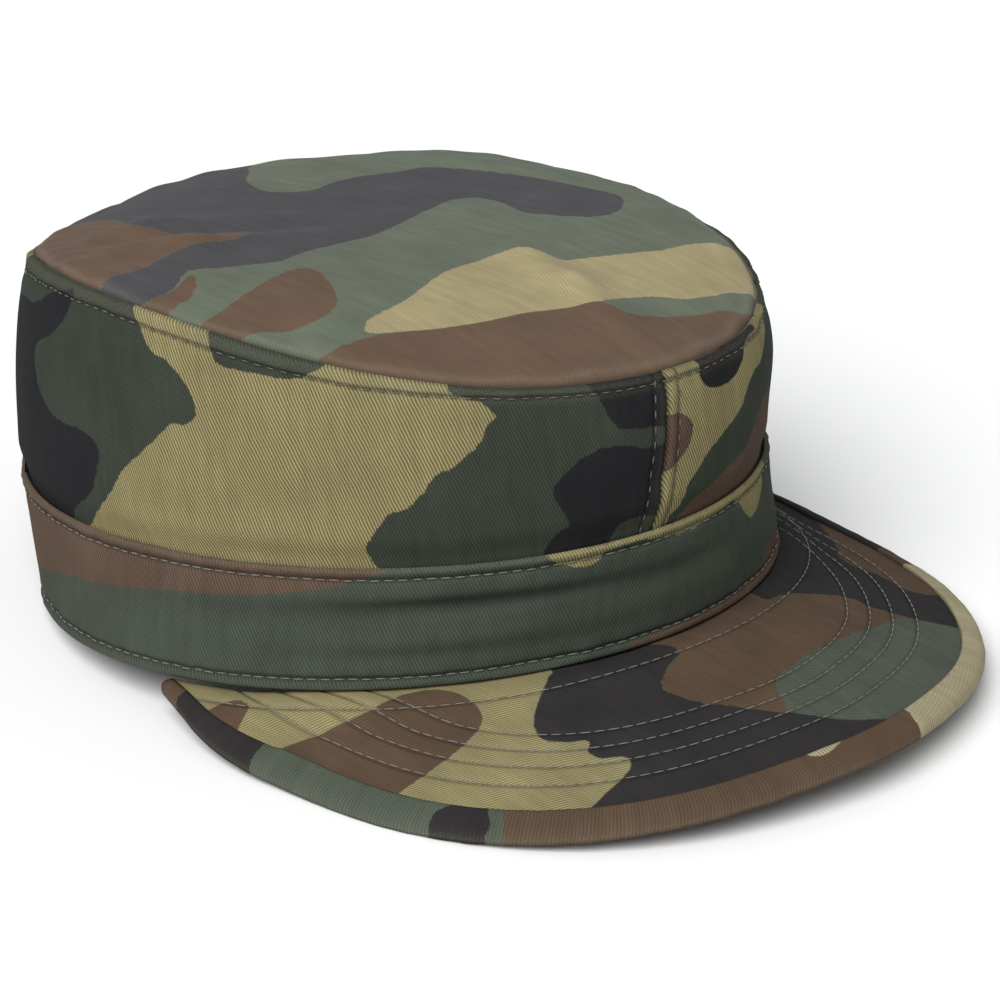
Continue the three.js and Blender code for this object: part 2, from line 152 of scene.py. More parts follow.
# stitch length and thread radius
BAND_STITCH = (2.9, 0.19)
CROWN_STITCH = (2.2, 0.2)
VISOR_STITCH = (3.25, 0.15)
BAND_ROWS = (3.0, 28.5)
SEAM_ROW_SIDE = 4.1
SEAM_ROW_FRONT = 2.3
PANEL_ROW = 4.2
VISOR_ROW_AT_RIM = 8.0
VISOR_ROWS_AT_TIP = (17.7, 24.0, 30.0, 36.0)
VISOR_ROWS_AT_SIDE = (15.5, 22.0, 27.5, 33.0)
VISOR_ROW_AT_RIGHT = 4.4
ROW_FADE = 4.0
ROW_END_GAP = 0.6
VISOR_ROW_SPAN = 0.97
CORNER_CLEARANCE = 14
BAND_THREAD_LIFT = 0.22
CROWN_THREAD_LIFT = 0.2
VISOR_THREAD_SINK = (0.05, 0.02)
STITCH_UNEVENNESS = 0.12

# millimetres of cloth for one degree round the crown
ROUND = 1.69


def smooth(t):
    """an even step from 0 to 1"""
    u = np.clip(t, 0.0, 1.0)
    return u * u * (3 - 2 * u)


def mix(a, b, t):
    return a + (b - a) * t


def waves(table, angle):
    """adds up waves round the cap"""
    total = 0.0
    for number, cosine, sine in table:
        turn = number * np.radians(angle)
        total = total + cosine * np.cos(turn) + sine * np.sin(turn)
    return total


def oval(half, table, angle):
    """a plan point on a waved oval; angle 0 is the front, 90 the wearer's left"""
    r = 1 + waves(table, angle)
    a = np.radians(angle)
    return np.stack([half[0] * r * np.sin(a), -half[1] * r * np.cos(a)], -1)


def outward(point, angle, distance):
    a = np.radians(angle)
    return point + np.stack([distance * np.sin(a), -distance * np.cos(a)], -1)


def swells(table, place, turn=None):
    """adds up soft bumps along a line, or round the cap where a whole turn is given"""
    total = 0.0
    for centre, spread, amount in table:
        away = place - centre
        if turn:
            away = away - turn * np.round(away / turn)
        total = total + amount * np.exp(-(away / spread) ** 2)
    return total


def seam_height(angle):
    return SEAM_HEIGHT + waves(SEAM_HEIGHT_WAVES, angle) + swells(SEAM_RISES, angle, 360)


def dents(table, angle, height):
    total = 0.0
    for a, h, wide, high, depth in table:
        u = (angle - a - 360 * np.round((angle - a) / 360)) / wide
        v = (height - h) / high
        total = total - depth * np.exp(-u * u - v * v)
    return total


def band_face(angle, z):
    share = np.asarray(z / BAND_HEIGHT)[..., None]
    return mix(oval(RIM, RIM_WAVES, angle), oval(BAND_TOP, BAND_TOP_WAVES, angle), share)


def side_face(angle, v):
    """plan point and height of the crown's side; v runs from the band's top to the seam"""
    z = BAND_HEIGHT + (seam_height(angle) - BAND_HEIGHT) * v
    share = np.asarray(v)[..., None]
    straight = mix(oval(BAND_TOP, BAND_TOP_WAVES, angle), oval(TOP_SEAM, TOP_SEAM_WAVES, angle), share)
    a = np.radians(angle)
    inside = np.clip(v, 0, 1)
    bulge = (BULGE + BULGE_FRONT * np.cos(a) + BULGE_LEFT * np.sin(a)) * np.sin(np.pi * inside ** 1.6)
    setback = (BAND_THICKNESS + GAP) * (1 - smooth((z - BAND_HEIGHT) / SETBACK_FADE))
    fade = smooth(v / 0.25) * smooth((1 - v) / 0.15)
    soft = fade * dents(SIDE_DENTS, angle, z) - swells(SEAM_INSETS, angle, 360) * inside ** 5
    return outward(straight, angle, bulge - setback + soft), z


def rest(point):
    """tips the cap back onto its rear rim, as it lies on the floor"""
    c, s = math.cos(math.radians(REST_TILT)), math.sin(math.radians(REST_TILT))
    x, y, z = point[..., 0], point[..., 1], point[..., 2]
    return np.stack([x, y * c + z * s + CENTRE_SHIFT_Y, np.maximum(0.0, -y * s + z * c + RIM_LIFT)], -1)


def raised(plan, z):
    return np.concatenate([plan, np.asarray(z)[..., None]], -1)


def fold_distance(x, y, fold):
    dx, dy = fold[2] - fold[0], fold[3] - fold[1]
    t = np.clip(((x - fold[0]) * dx + (y - fold[1]) * dy) / (dx * dx + dy * dy), 0, 1)
    return np.hypot(x - fold[0] - t * dx, y - fold[1] - t * dy)


def top_height(x, y, r, angle):
    z = SEAM_HEIGHT + DOME_RISE * (1 - r ** DOME_POWER)
    for n, c, s in SEAM_HEIGHT_WAVES:
        a = n * np.radians(angle)
        z = z + r ** n * (c * np.cos(a) + s * np.sin(a))
    z = z + r ** 3 * swells(SEAM_RISES, angle, 360)
    fade = smooth((1 - r) / 0.2)
    for fold in TOP_FOLDS:
        d = fold_distance(x, y, fold) / fold[4]
        z = z + fade * fold[5] * np.exp(-d * d)
    return z


def visor_edge(s):
    """the visor's outer edge; s runs from -1 at the wearer's right to 1"""
    side, m = np.sign(s), np.abs(s)
    corner = 1 - CORNER_SHARE
    t = np.clip((m - corner) / CORNER_SHARE, 0, 1)
    corner_x = mix(VISOR_HALF[0], VISOR_CORNER[0], t * t)
    corner_y = mix(VISOR_CENTRE_Y, VISOR_CORNER[1], t)
    a = np.radians(90 * np.minimum(m, corner) / corner)
    sn, cs = np.sin(a), np.maximum(0.0, np.cos(a))
    r = (sn ** VISOR_POWER + cs ** VISOR_POWER) ** (-1 / VISOR_POWER)
    at_end = m > corner
    x = side * np.where(at_end, corner_x, VISOR_HALF[0] * r * sn)
    y = np.where(at_end, corner_y, VISOR_CENTRE_Y - VISOR_HALF[1] * r * cs)
    return np.stack([x, y], -1)


def visor_inset(s, distance):
    """a plan point that distance inside the visor's edge"""
    step = 0.002
    t = visor_edge(np.minimum(1, s + step)) - visor_edge(np.maximum(-1, s - step))
    t = t / np.hypot(t[..., 0], t[..., 1])[..., None]
    distance = distance - swells(VISOR_SWELLS, s)
    return visor_edge(s) + np.stack([-distance * t[..., 1], distance * t[..., 0]], -1)


def visor_root(s):
    angle = s * VISOR_END_ANGLE
    return outward(oval(RIM, RIM_WAVES, angle), angle, -VISOR_UNDER_RIM)


def visor_middle(s, plan):
    """the height of the visor's middle layer over a plan point"""
    root = visor_root(s)
    near = 1 - smooth(np.hypot(plan[..., 0] - root[..., 0], plan[..., 1] - root[..., 1]) / VISOR_ROOT_REACH)
    x, y = plan[..., 0], plan[..., 1]
    out = np.maximum(0, (-y - VISOR_RIM_Y) / VISOR_LENGTH)
    free = VISOR_LEVEL + VISOR_SLOPE * (y + VISOR_RIM_Y) - VISOR_DROOP * x * x - VISOR_TIP_DROP * out * out
    corner = smooth((np.abs(s) - 0.7) / 0.15)
    held = -GAP - VISOR_THICKNESS / 2 - corner * (GAP + BINDING_THICKNESS + 0.2)
    return mix(free, held, near)


def binding_reach(s):
    narrow = mix(1, BINDING_LEFT_SHARE, smooth((s + 0.1) / 0.5))
    return BINDING_WIDTH * narrow * mix(1, BINDING_END_SHARE, smooth((np.abs(s) - 0.88) / 0.12))


def seam_row(angle):
    """how far under the top seam its stitch row runs"""
    return mix(SEAM_ROW_SIDE, SEAM_ROW_FRONT, smooth((angle + 62) / 34) * smooth((130 - angle) / 60))


def front_seam(v):
    return mix(FRONT_SEAM[0], FRONT_SEAM[1], v)


def ripple(place, shortest, longest, seed, count=9):
    """a repeatable unevenness of about -1 to 1: waves of several lengths and directions"""
    pick = np.random.default_rng(seed)
    total = np.zeros(place.shape[:-1])
    for _ in range(count):
        direction = pick.normal(size=3)
        direction /= np.linalg.norm(direction)
        turn = 2 * math.pi / pick.uniform(shortest, longest)
        total += np.sin(place @ direction * turn + pick.uniform(0, 2 * math.pi))
    return total / math.sqrt(count)


# the printed blotches
# Each outline of a chart paints over what comes before it, on green cloth. They are drawn as pairs:
# degrees round the cap and millimetres up (sides and band), or plan millimetres (top, visor, binding).
SIDE_RIGHT_PRINT = (
    ("black", -101, 95, -101.3, 93.3, -104.7, 86, -109, 80, -115, 75, -116.4, 71, -114.4, 63.6, -109, 58,
     -101, 57.4, -97.6, 54, -98.4, 48, -100.3, 41, -105, 35.5, -107, 32, -108, 22, -141, 22, -150, 40,
     -146, 60, -138, 76, -125, 82.4, -119.4, 83.6, -115, 86, -110, 90, -106.3, 92),
    ("sand", -88.3, 100, -88.3, 94, -85.6, 85.5, -84, 83, -82, 82, -79, 77, -77.4, 70.5, -79, 66.3,
     -82, 65.8, -85, 61, -87.5, 57.4, -92.5, 50, -96.9, 40.5, -102, 31.8, -105, 22, -51, 22, -52.5, 31.8,
     -53.6, 36, -52.5, 40, -49.7, 46, -47, 47.4, -43.4, 53.6, -42.2, 56, -40.3, 57, -36.3, 62.4, -34.7, 67,
     -33.4, 69.3, -35, 72.4, -38.4, 75, -40, 77.4, -41, 90),
    ("green", -74.6, 100, -74.6, 89, -74.4, 85.5, -73, 82.6, -67, 81, -62, 80.2, -59, 82, -57, 84, -53, 88,
     -50, 98),
    ("black", -19.5, 84, -18.4, 73.6, -17.2, 70, -15, 62.4, -13.4, 60.5, -8, 59, 3, 58.5, 3, 84),
    ("black", 3, 53.5, -8.8, 54, -12, 55.5, -16, 57, -20.6, 55.5, -24.7, 50.5, -25.6, 47, -24, 42,
     -23.2, 38.4, -25, 36.8, -27, 31.8, -27.5, 22, -18, 22, -16, 32, -13, 36.2, -8, 35.6, 3, 35),
    ("brown", -178, 74, -168, 70, -158, 61, -150, 49, -156, 41, -167, 45, -176, 52, -186, 60),
    ("sand", -160, 98, -157, 86, -149, 80, -141, 84, -133, 96, -140, 106),
    ("sand", -186, 40, -174, 40, -164, 34, -160, 22, -186, 22),
)
SIDE_LEFT_PRINT = (
    ("sand", -14, 92, -14, 22, -5.5, 22, -4.7, 32.4, -2.6, 35.5, -1.6, 40, 0, 42.4, 3.8, 47.4, 8.8, 50.8,
     13.4, 53.6, 16.9, 59, 20, 60.8, 23, 61.4, 28, 65, 33, 71, 37, 80, 39, 92),
    ("brown", -14, 60.5, -5.6, 60.5, -2.8, 60.2, -0.5, 57.5, -0.4, 53.6, -2, 50, -5, 47, -14, 44.5),
    ("black", 3.6, 84, 3.6, 69, 3.3, 66.8, 4.4, 64, 8, 62.4, 13, 63, 16.9, 67.4, 20, 69.5, 24, 71, 26, 84),
    ("brown", -5, 20, -1.6, 33, 3, 37, 9, 40, 15, 42, 21, 46, 27, 49, 34, 49, 42, 44, 47, 36, 46, 20),
    ("sand", 58, 22, 60, 36, 68, 47, 79, 52, 88, 46, 96, 47, 103, 40, 104, 22),
    ("black", 70, 96, 72, 78, 79, 68, 92, 65, 101, 70, 106, 62, 118, 58, 126, 66, 124, 82, 128, 98),
    ("brown", 112, 22, 116, 36, 126, 44, 138, 45, 146, 56, 156, 58, 160, 48, 153, 36, 154, 22),
    ("sand", 142, 98, 140, 84, 147, 74, 160, 72, 170, 63, 188, 60, 188, 98),
    ("black", 166, 22, 170, 34, 178, 44, 190, 46, 190, 22),
)
BAND_PRINT = (
    ("brown", -142, 42, -146, 20, -138, 9, -128, 9, -119, 11.6, -110, 15.3, -103, 17.4, -94, 19, -86, 21.4,
     -76, 22.8, -67, 24.4, -59.3, 26.5, -54.3, 29, -50.5, 31.4, -48, 36, -50, 42),
    ("sand", -28, 42, -27, 31.5, -25, 29, -22, 26.6, -20, 26.3, -18, 27.5, -16.6, 29.6, -11, 30.2, -7, 28.8,
     0, 27.8, 6, 28.9, 12, 29.3, 14.2, 27, 17, 22.3, 19, 20.8, 22, 21.6, 25.6, 25.3, 28, 31, 29, 42),
    ("brown", -15, -6, -13, 1, -8, 2.2, 4, 2.8, 14, 3.6, 22, 5.6, 27, 7.4, 34, 6.5, 42, 3, 48, -6),
    ("brown", 58, 42, 60, 24, 70, 15, 84, 17, 92, 27, 95, 42),
    ("black", 98, -6, 100, 10, 110, 19, 124, 16, 134, 22, 146, 20, 150, 8, 148, -6),
    ("sand", 158, 42, 160, 27, 170, 17, 184, 19, 196, 27, 204, 42),
)
TOP_PRINT = (
    ("black", -95, 20, -95, -5, -78, -5, -72.8, -3, -65.6, 0.8, -58, -2.5, -48, -4.2, -39.4, -5.3, -28, -2,
     -10.6, -1.4, -1.7, -2, 11.7, 1.9, 25, 4.7, 34, 6, 40, 3, 41, -6, 38.5, -17, 43, -23.5, 49, -29,
     56, -31.5, 63, -29.5, 71, -22.5, 70.5, -15, 67.5, -2, 63.5, 9, 57, 24, 51, 33.5, 42.8, 36.5, 34, 41.5,
     26, 44, 19, 44, 12, 50, 11, 56, 16, 67, 25, 76, 34, 86, 42, 95, 20, 116, -20, 116, -50, 100, -80, 60),
    ("brown", -95, 14, -80.6, 12.4, -72.8, 11.3, -66, 12.4, -59.4, 14.7, -54, 16, -47, 15.6, -41.7, 14.9,
     -35, 15.6, -29.4, 19, -22, 25.6, -28, 31, -36, 38, -38, 45, -40, 50, -38, 56, -33, 64, -30, 72,
     -28, 84, -26, 110, -70, 90, -95, 50),
    ("sand", -57.2, -54.8, -55.6, -51, -50, -49.2, -37, -46.4, -25, -42, -12.8, -37.6, 0.6, -35.9, 8, -36,
     14.4, -39.2, 16.4, -43, 17.6, -49, 23.9, -48.9, 32.8, -53, 40, -55.3, 48, -57.6, 64.4, -57.6, 69, -61,
     80, -75, 64, -90, 50, -85.3, 42.8, -83.7, 29.4, -83.3, 25, -81.4, 20, -77, 11.7, -75.6, 0, -77,
     -6, -73, -17, -69, -28, -67, -43, -61.4),
    ("brown", -90, -54, -67, -54.2, -57, -56.2, -50.6, -58.1, -42.8, -61.4, -28.3, -67, -17.2, -69, -6, -73,
     1, -77, 3, -80, 4.2, -83.6, 10.6, -86, 25, -90.3, 38, -91, 50, -100, 20, -120, -60, -110, -90, -80),
    ("brown", -92, -24, -78, -22.6, -60, -18, -47, -14.2, -41, -13.7, -39.2, -17, -43, -25.3, -51.7, -37.6,
     -58, -41.4, -66, -42, -73, -40.3, -78.3, -36.4, -92, -30),
    ("brown", -95, -5.3, -78, -5.3, -72.8, -3.7, -67, -1.6, -70, -6.4, -74, -9.8, -80, -12.6, -95, -13),
    ("brown", 44, 84, 50, 78, 60, 72, 66, 70, 72, 80, 56, 98),
    ("sand", 38, 92, 44, 84, 52, 82, 56, 88, 48, 104),
)
VISOR_PRINT = (
    ("black", -140, -10, 140, -10, 140, -180, -140, -180),
    ("sand", -30, -60, -38, -88, -42.5, -92.5, -51.3, -97, -58, -101.5, -61.3, -107, -58.5, -112.5,
     -54.4, -116.3, -57.5, -118.8, -57.6, -122.5, -54, -125.6, -53.1, -128, -56.3, -130.6, -62.5, -131.5,
     -68, -131.8, -78, -134, -100, -150, -135, -100, -135, -20, -80, -15),
    ("brown", -108, -54, -90, -61, -80, -66.5, -72, -69, -66, -72.5, -62.8, -77.5, -62, -83, -63, -88,
     -66.3, -91.3, -73.8, -92.5, -82.5, -92, -91.3, -90.6, -100, -89.4, -112, -86),
    ("brown", -110, -29, -99, -31, -95, -33.5, -94, -36.4, -96, -39.4, -110, -41),
    ("brown", -10, -92, -10.5, -105, -12.5, -109, -20, -111.5, -26, -115, -27.3, -119.5, -25, -126.5,
     -20.6, -132.5, -14.4, -141.3, -11.5, -143.4, -8.8, -140, -6, -135.4, -2.5, -132, 5, -130.6, 25, -128,
     47.5, -127, 57.3, -126.3, 56.4, -123.8, 52.8, -118.8, 52, -113.8, 49, -109.6, 41.3, -106.3, 34, -104,
     28, -103, 27.5, -92),
    ("green", -11.5, -143.4, -7.5, -148.8, -3.8, -153, 1.3, -157, 8, -161, 14, -166, 40, -166, 66, -150,
     70, -140, 62, -131, 57.3, -126.3, 47.5, -127, 25, -128, 5, -130.6, -2.5, -132, -6, -135.4, -8.8, -140),
    ("brown", 103, -60, 97, -66, 90, -75, 84, -82, 77.5, -88, 75, -95, 76.5, -103, 76, -113, 86, -116,
     98, -100, 106, -80),
)
BINDING_PRINT = (
    ("brown", -150, 0, 150, 0, 150, -190, -150, -190),
    ("black", -80, -26, -122, -24, -124, -56, -80, -54),
    ("green", -78, -54, -124, -56, -124, -92, -112, -118, -99, -125, -82, -110, -84, -80),
    ("black", -100, -105, -95, -103, -88, -107, -86, -110, -92, -117, -101, -113),
    ("sand", -23, -158, -17, -156.6, -9, -157.6, -13, -160.6, -20, -161.2),
    ("sand", 14, -150, 12.5, -160, 13, -172, 60, -172, 112, -130, 106, -103, 82, -98, 50, -130),
    ("black", 82, -77, 122, -73, 124, 5, 80, 5),
)

REACH = 6.0
INKS = ("sand", "brown", "black")


def rounded_outline(points, steps=5):
    """a closed smooth curve through the points"""
    p = np.asarray(points, float)
    a, b, c, d = (np.roll(p, k, 0) for k in (1, 0, -1, -2))
    runs = []
    for t in np.arange(steps) / steps:
        curved = (2 * a - 5 * b + 4 * c - d) * t ** 2 + (3 * b - a - 3 * c + d) * t ** 3
        runs.append(0.5 * (2 * b + (c - a) * t + curved))
    return np.stack(runs, 1).reshape(-1, 2)


def distance_to_line(place, line, closed=False):
    """the distance of each place from a run of points"""
    a = line if closed else line[:-1]
    b = np.roll(line, -1, 0) if closed else line[1:]
    best = np.full(len(place), 1e9)
    for start in range(0, len(place), 4000):
        q = place[start:start + 4000, None, :] - a[None]
        along = (b - a)[None]
        t = np.clip((q * along).sum(-1) / np.maximum((along * along).sum(-1), 1e-9), 0, 1)
        best[start:start + 4000] = np.hypot(*np.moveaxis(q - t[..., None] * along, -1, 0)).min(1)
    return best


def inside_outline(place, outline):
    a, b = outline, np.roll(outline, -1, 0)
    inside = np.zeros(len(place), bool)
    for (ax, ay), (bx, by) in zip(a, b):
        if ay == by:
            continue
        crosses = (ay > place[:, 1]) != (by > place[:, 1])
        inside ^= crosses & (place[:, 0] < (bx - ax) * (place[:, 1] - ay) / (by - ay) + ax)
    return inside


def print_fields(place, chart, across=1.0):
    """how deep each place lies inside each ink, in millimetres; negative outside"""
    flat = np.reshape(place, (-1, 2))
    fields = {ink: np.full(len(flat), -REACH) for ink in INKS}
    for ink, *numbers in chart:
        outline = rounded_outline(np.reshape(numbers, (-1, 2)) * (across, 1.0))
        near = np.all((flat > outline.min(0) - REACH) & (flat < outline.max(0) + REACH), 1)
        depth = np.full(len(flat), -REACH)
        away = np.minimum(distance_to_line(flat[near], outline, closed=True), REACH)
        depth[near] = np.where(inside_outline(flat[near], outline), away, -away)
        for other, field in fields.items():
            fields[other] = np.maximum(field, depth) if other == ink else np.minimum(field, -depth)
    return {ink: field.reshape(place.shape[:-1]) for ink, field in fields.items()}


# mesh making
def add_object(name, data):
    made = bpy.data.objects.new(name, data)
    bpy.context.scene.collection.objects.link(made)
    return made


def finish_mesh(name, vertices, faces, corner_uv, marks):
    """a smooth closed mesh with its cloth coordinates in millimetres and its marks on the points"""
    mesh = bpy.data.meshes.new(name)
    mesh.from_pydata((vertices * MM).tolist(), [], faces)
    layer = mesh.uv_layers.new(name="cloth")
    layer.data.foreach_set("uv", np.asarray(corner_uv, float).ravel())
    for mark, values in marks.items():
        attribute = mesh.attributes.new(mark, "FLOAT", "POINT")
        attribute.data.foreach_set("value", np.asarray(values, float).ravel())
    mesh.shade_smooth()
    mesh.calc_loop_triangles()
    corners = np.array([t.vertices for t in mesh.loop_triangles])
    p = vertices[corners]
    if np.einsum("ij,ij->i", p[:, 0], np.cross(p[:, 1], p[:, 2])).sum() < 0:
        mesh.flip_normals()
    mesh.update()
    return add_object(name, mesh)


def ring_angles(rows, cols):
    return np.linspace(-180, 180, rows, endpoint=False)[:, None] * np.ones(cols)


def folded(outer, inner):
    """the outer face's grid followed by the inner one's, run backwards"""
    return np.concatenate([outer, inner[:, ::-1]], 1)


def sewn_shell(name, outer, inner, uv, marks, ring):
    """a closed cloth wall: outer and inner faces on one grid of rows and columns, joined at their edges.
    A ring closes on itself, and uv then has one row more than the faces."""
    rows, cols = outer.shape[:2]
    loop = 2 * cols
    vertices = folded(outer, inner).reshape(-1, 3)
    uv_loop = folded(uv, uv)
    ids = np.arange(rows * loop).reshape(rows, loop)
    last = rows if ring else rows - 1
    i = np.repeat(np.arange(last), loop)
    k = np.tile(np.arange(loop), last)
    i2, k2 = (i + 1) % rows, (k + 1) % loop
    faces = np.stack([ids[i, k], ids[i2, k], ids[i2, k2], ids[i, k2]], 1)
    corner_uv = np.stack([uv_loop[i, k], uv_loop[i + 1, k], uv_loop[i + 1, k2], uv_loop[i, k2]], 1)
    if not ring:
        m = np.arange(cols - 1)
        for row, flip in ((0, False), (rows - 1, True)):
            order = (m, m + 1, loop - 2 - m, loop - 1 - m)
            order = order[::-1] if flip else order
            faces = np.concatenate([faces, np.stack([ids[row, q] for q in order], 1)])
            corner_uv = np.concatenate([corner_uv, np.stack([uv_loop[row, q] for q in order], 1)])
    both = {mark: folded(values, values) for mark, values in marks.items()}
    both["inside"] = folded(np.zeros((rows, cols)), np.ones((rows, cols)))
    return finish_mesh(name, vertices, faces.tolist(), corner_uv, both)


def sewn_disc(name, outer, inner, uv, marks, centres, centre_marks):
    """a closed round panel: rows go round it and columns run from near its middle to its edge"""
    rows, cols = outer.shape[:2]
    loop = 2 * cols
    vertices = np.concatenate([folded(outer, inner).reshape(-1, 3), centres])
    uv_loop = folded(uv, uv)
    ids = np.arange(rows * loop).reshape(rows, loop)
    i = np.repeat(np.arange(rows), loop - 1)
    k = np.tile(np.arange(loop - 1), rows)
    i2 = (i + 1) % rows
    faces = np.stack([ids[i, k], ids[i2, k], ids[i2, k + 1], ids[i, k + 1]], 1).tolist()
    corner_uv = np.stack([uv_loop[i, k], uv_loop[i2, k], uv_loop[i2, k + 1], uv_loop[i, k + 1]], 1)
    corner_uv = corner_uv.reshape(-1, 2)
    middle = np.zeros(2)
    extra = []
    for row in range(rows):
        after = (row + 1) % rows
        faces.append([rows * loop, int(ids[after, 0]), int(ids[row, 0])])
        extra += [middle, uv_loop[after, 0], uv_loop[row, 0]]
        faces.append([rows * loop + 1, int(ids[row, -1]), int(ids[after, -1])])
        extra += [middle, uv_loop[row, -1], uv_loop[after, -1]]
    both = {}
    for mark, values in marks.items():
        both[mark] = np.append(folded(values, values).ravel(), [centre_marks[mark]] * 2)
    sides = folded(np.zeros((rows, cols)), np.ones((rows, cols)))
    both["inside"] = np.append(sides.ravel(), [0.0, 1.0])
    return finish_mesh(name, vertices, faces, np.concatenate([corner_uv, np.array(extra)]), both)


def edge_roll(distance, radius):
    """how far a face pulls in near a rounded edge that is that distance away"""
    d = np.clip(distance / radius, 0, 1)
    return radius * (1 - np.sqrt(np.maximum(0, 1 - (1 - d) ** 2)))


def groove(distance, width):
    return np.exp(-(distance / width) ** 2)


# band
def band_dip(angle, z):
    wall = smooth((z - 2.5) / 3) * smooth((BAND_HEIGHT - 3 - z) / 3)
    return wall * dents(BAND_DENTS, angle, z)


def band_offset(angle, z):
    """how far the band's outer face stands off its plain taper"""
    ends = edge_roll(np.minimum(z, BAND_HEIGHT - z), BAND_ROLL)
    low = 0.35 * groove(z - 1.3, 1.3) - 0.55 * groove(z - BAND_ROWS[0], 0.8)
    high = 0.35 * groove(z - BAND_HEIGHT + 0.9, 0.8) - 0.45 * groove(z - BAND_ROWS[1], 0.9)
    return low + high - 0.2 - ends + band_dip(angle, z)


def band_surface(angle, z, lift=0.0):
    plain = raised(band_face(angle, z), z)
    pucker = np.minimum(np.abs(z - BAND_ROWS[0]), np.abs(z - BAND_ROWS[1]))
    uneven = 0.22 * groove(pucker, 3.0) * ripple(plain, 5, 10, 3) + 0.22 * ripple(plain, 18, 45, 4)
    off = band_offset(angle, z) + uneven * smooth(z / 1.5) + lift
    return raised(outward(plain[..., :2], angle, off), z)


def row_sign(value, rows):
    """the distance from the nearest stitch row, changing sign at each"""
    near = np.min([np.abs(value - row) for row in rows], 0)
    sign = np.prod([np.sign(value - row) for row in rows], 0)
    return np.clip(near, 0, ROW_FADE) * np.where(sign == 0, 1, sign)


def make_band():
    rows, cols = 360, 46
    angle = ring_angles(rows, cols)
    t = np.linspace(0, 1, cols)
    z = np.ones((rows, 1)) * (BAND_HEIGHT * mix(t, smooth(t), 0.35))
    outer = band_surface(angle, z)
    ends = edge_roll(np.minimum(z, BAND_HEIGHT - z), BAND_ROLL)
    taper = mix(BAND_THICKNESS_AT_RIM, BAND_THICKNESS, z / BAND_HEIGHT)
    behind = -taper + ends * 0.8 + np.minimum(0, band_dip(angle, z))
    inner = raised(outward(band_face(angle, z), angle, behind), z)
    round_angle = np.append(angle[:, 0], 180.0)
    uv = np.stack(np.broadcast_arrays((round_angle * ROUND)[:, None], z[:1]), -1)
    marks = print_fields(np.stack([angle * ROUND, z], -1), BAND_PRINT, across=ROUND)
    marks["row"] = row_sign(z, BAND_ROWS)
    marks["wear"] = groove(np.minimum(z, BAND_HEIGHT - z), 1.0)
    # painted shade: darker colour in the band's folds, most in the front fold at mid-height
    front_fold = np.exp(-((angle + 32) / 26) ** 2)
    behind_fold = np.exp(-((angle + 66) / 20) ** 2)
    pressed = 0.85 * groove(z - 21, 1.8) + 0.3 * groove(z - 9, 1.8)
    marks["crease_shade"] = front_fold * pressed + 0.35 * behind_fold * groove(z - 20, 3)
    return sewn_shell("head_band", rest(outer), rest(inner), uv, marks, ring=True)


# crown sides
def panel_distance(angle, v):
    """how far a place is from the nearer of the front and back seams"""
    return np.minimum(np.abs(angle - front_seam(v)), np.abs(180 - np.abs(angle))) * ROUND


def side_surface(angle, z, lift=0.0):
    """the side's outer face at a height, with its stitched edge under the top seam"""
    h = seam_height(angle)
    v = (z - BAND_HEIGHT) / (h - BAND_HEIGHT)
    plan, _ = side_face(angle, np.maximum(v, 0))
    plain = raised(plan, z)
    under = h - z
    row = seam_row(angle)
    at_top = 0.18 * smooth((row + 1 - under) / 2) - 0.28 * groove(under - row, 0.8) - edge_roll(under, 1.2)
    panel = panel_distance(angle, v)
    at_panel = (0.45 * groove(panel - 2.0, 1.8) - 0.3 * groove(panel - PANEL_ROW, 0.8)
                - 0.7 * groove(panel, 0.6))
    near_seam = 0.26 * groove(np.maximum(under - row, 0), 5.0) * ripple(plain, 6, 12, 11)
    near_panel = 0.25 * groove(panel, 7.0) * ripple(plain, 6, 11, 12)
    uneven = near_seam + near_panel + 0.3 * ripple(plain, 22, 60, 13)
    fade = smooth((z - BAND_HEIGHT + 1) / 4)
    foot = smooth((BAND_HEIGHT - z) / 1.0)
    behind = outward(band_face(angle, np.minimum(z, BAND_HEIGHT)), angle, -BAND_THICKNESS - GAP * 0.5)
    face = outward(plan, angle, (at_panel + uneven) * fade + at_top + lift)
    return raised(mix(face, behind, foot[..., None]), z)


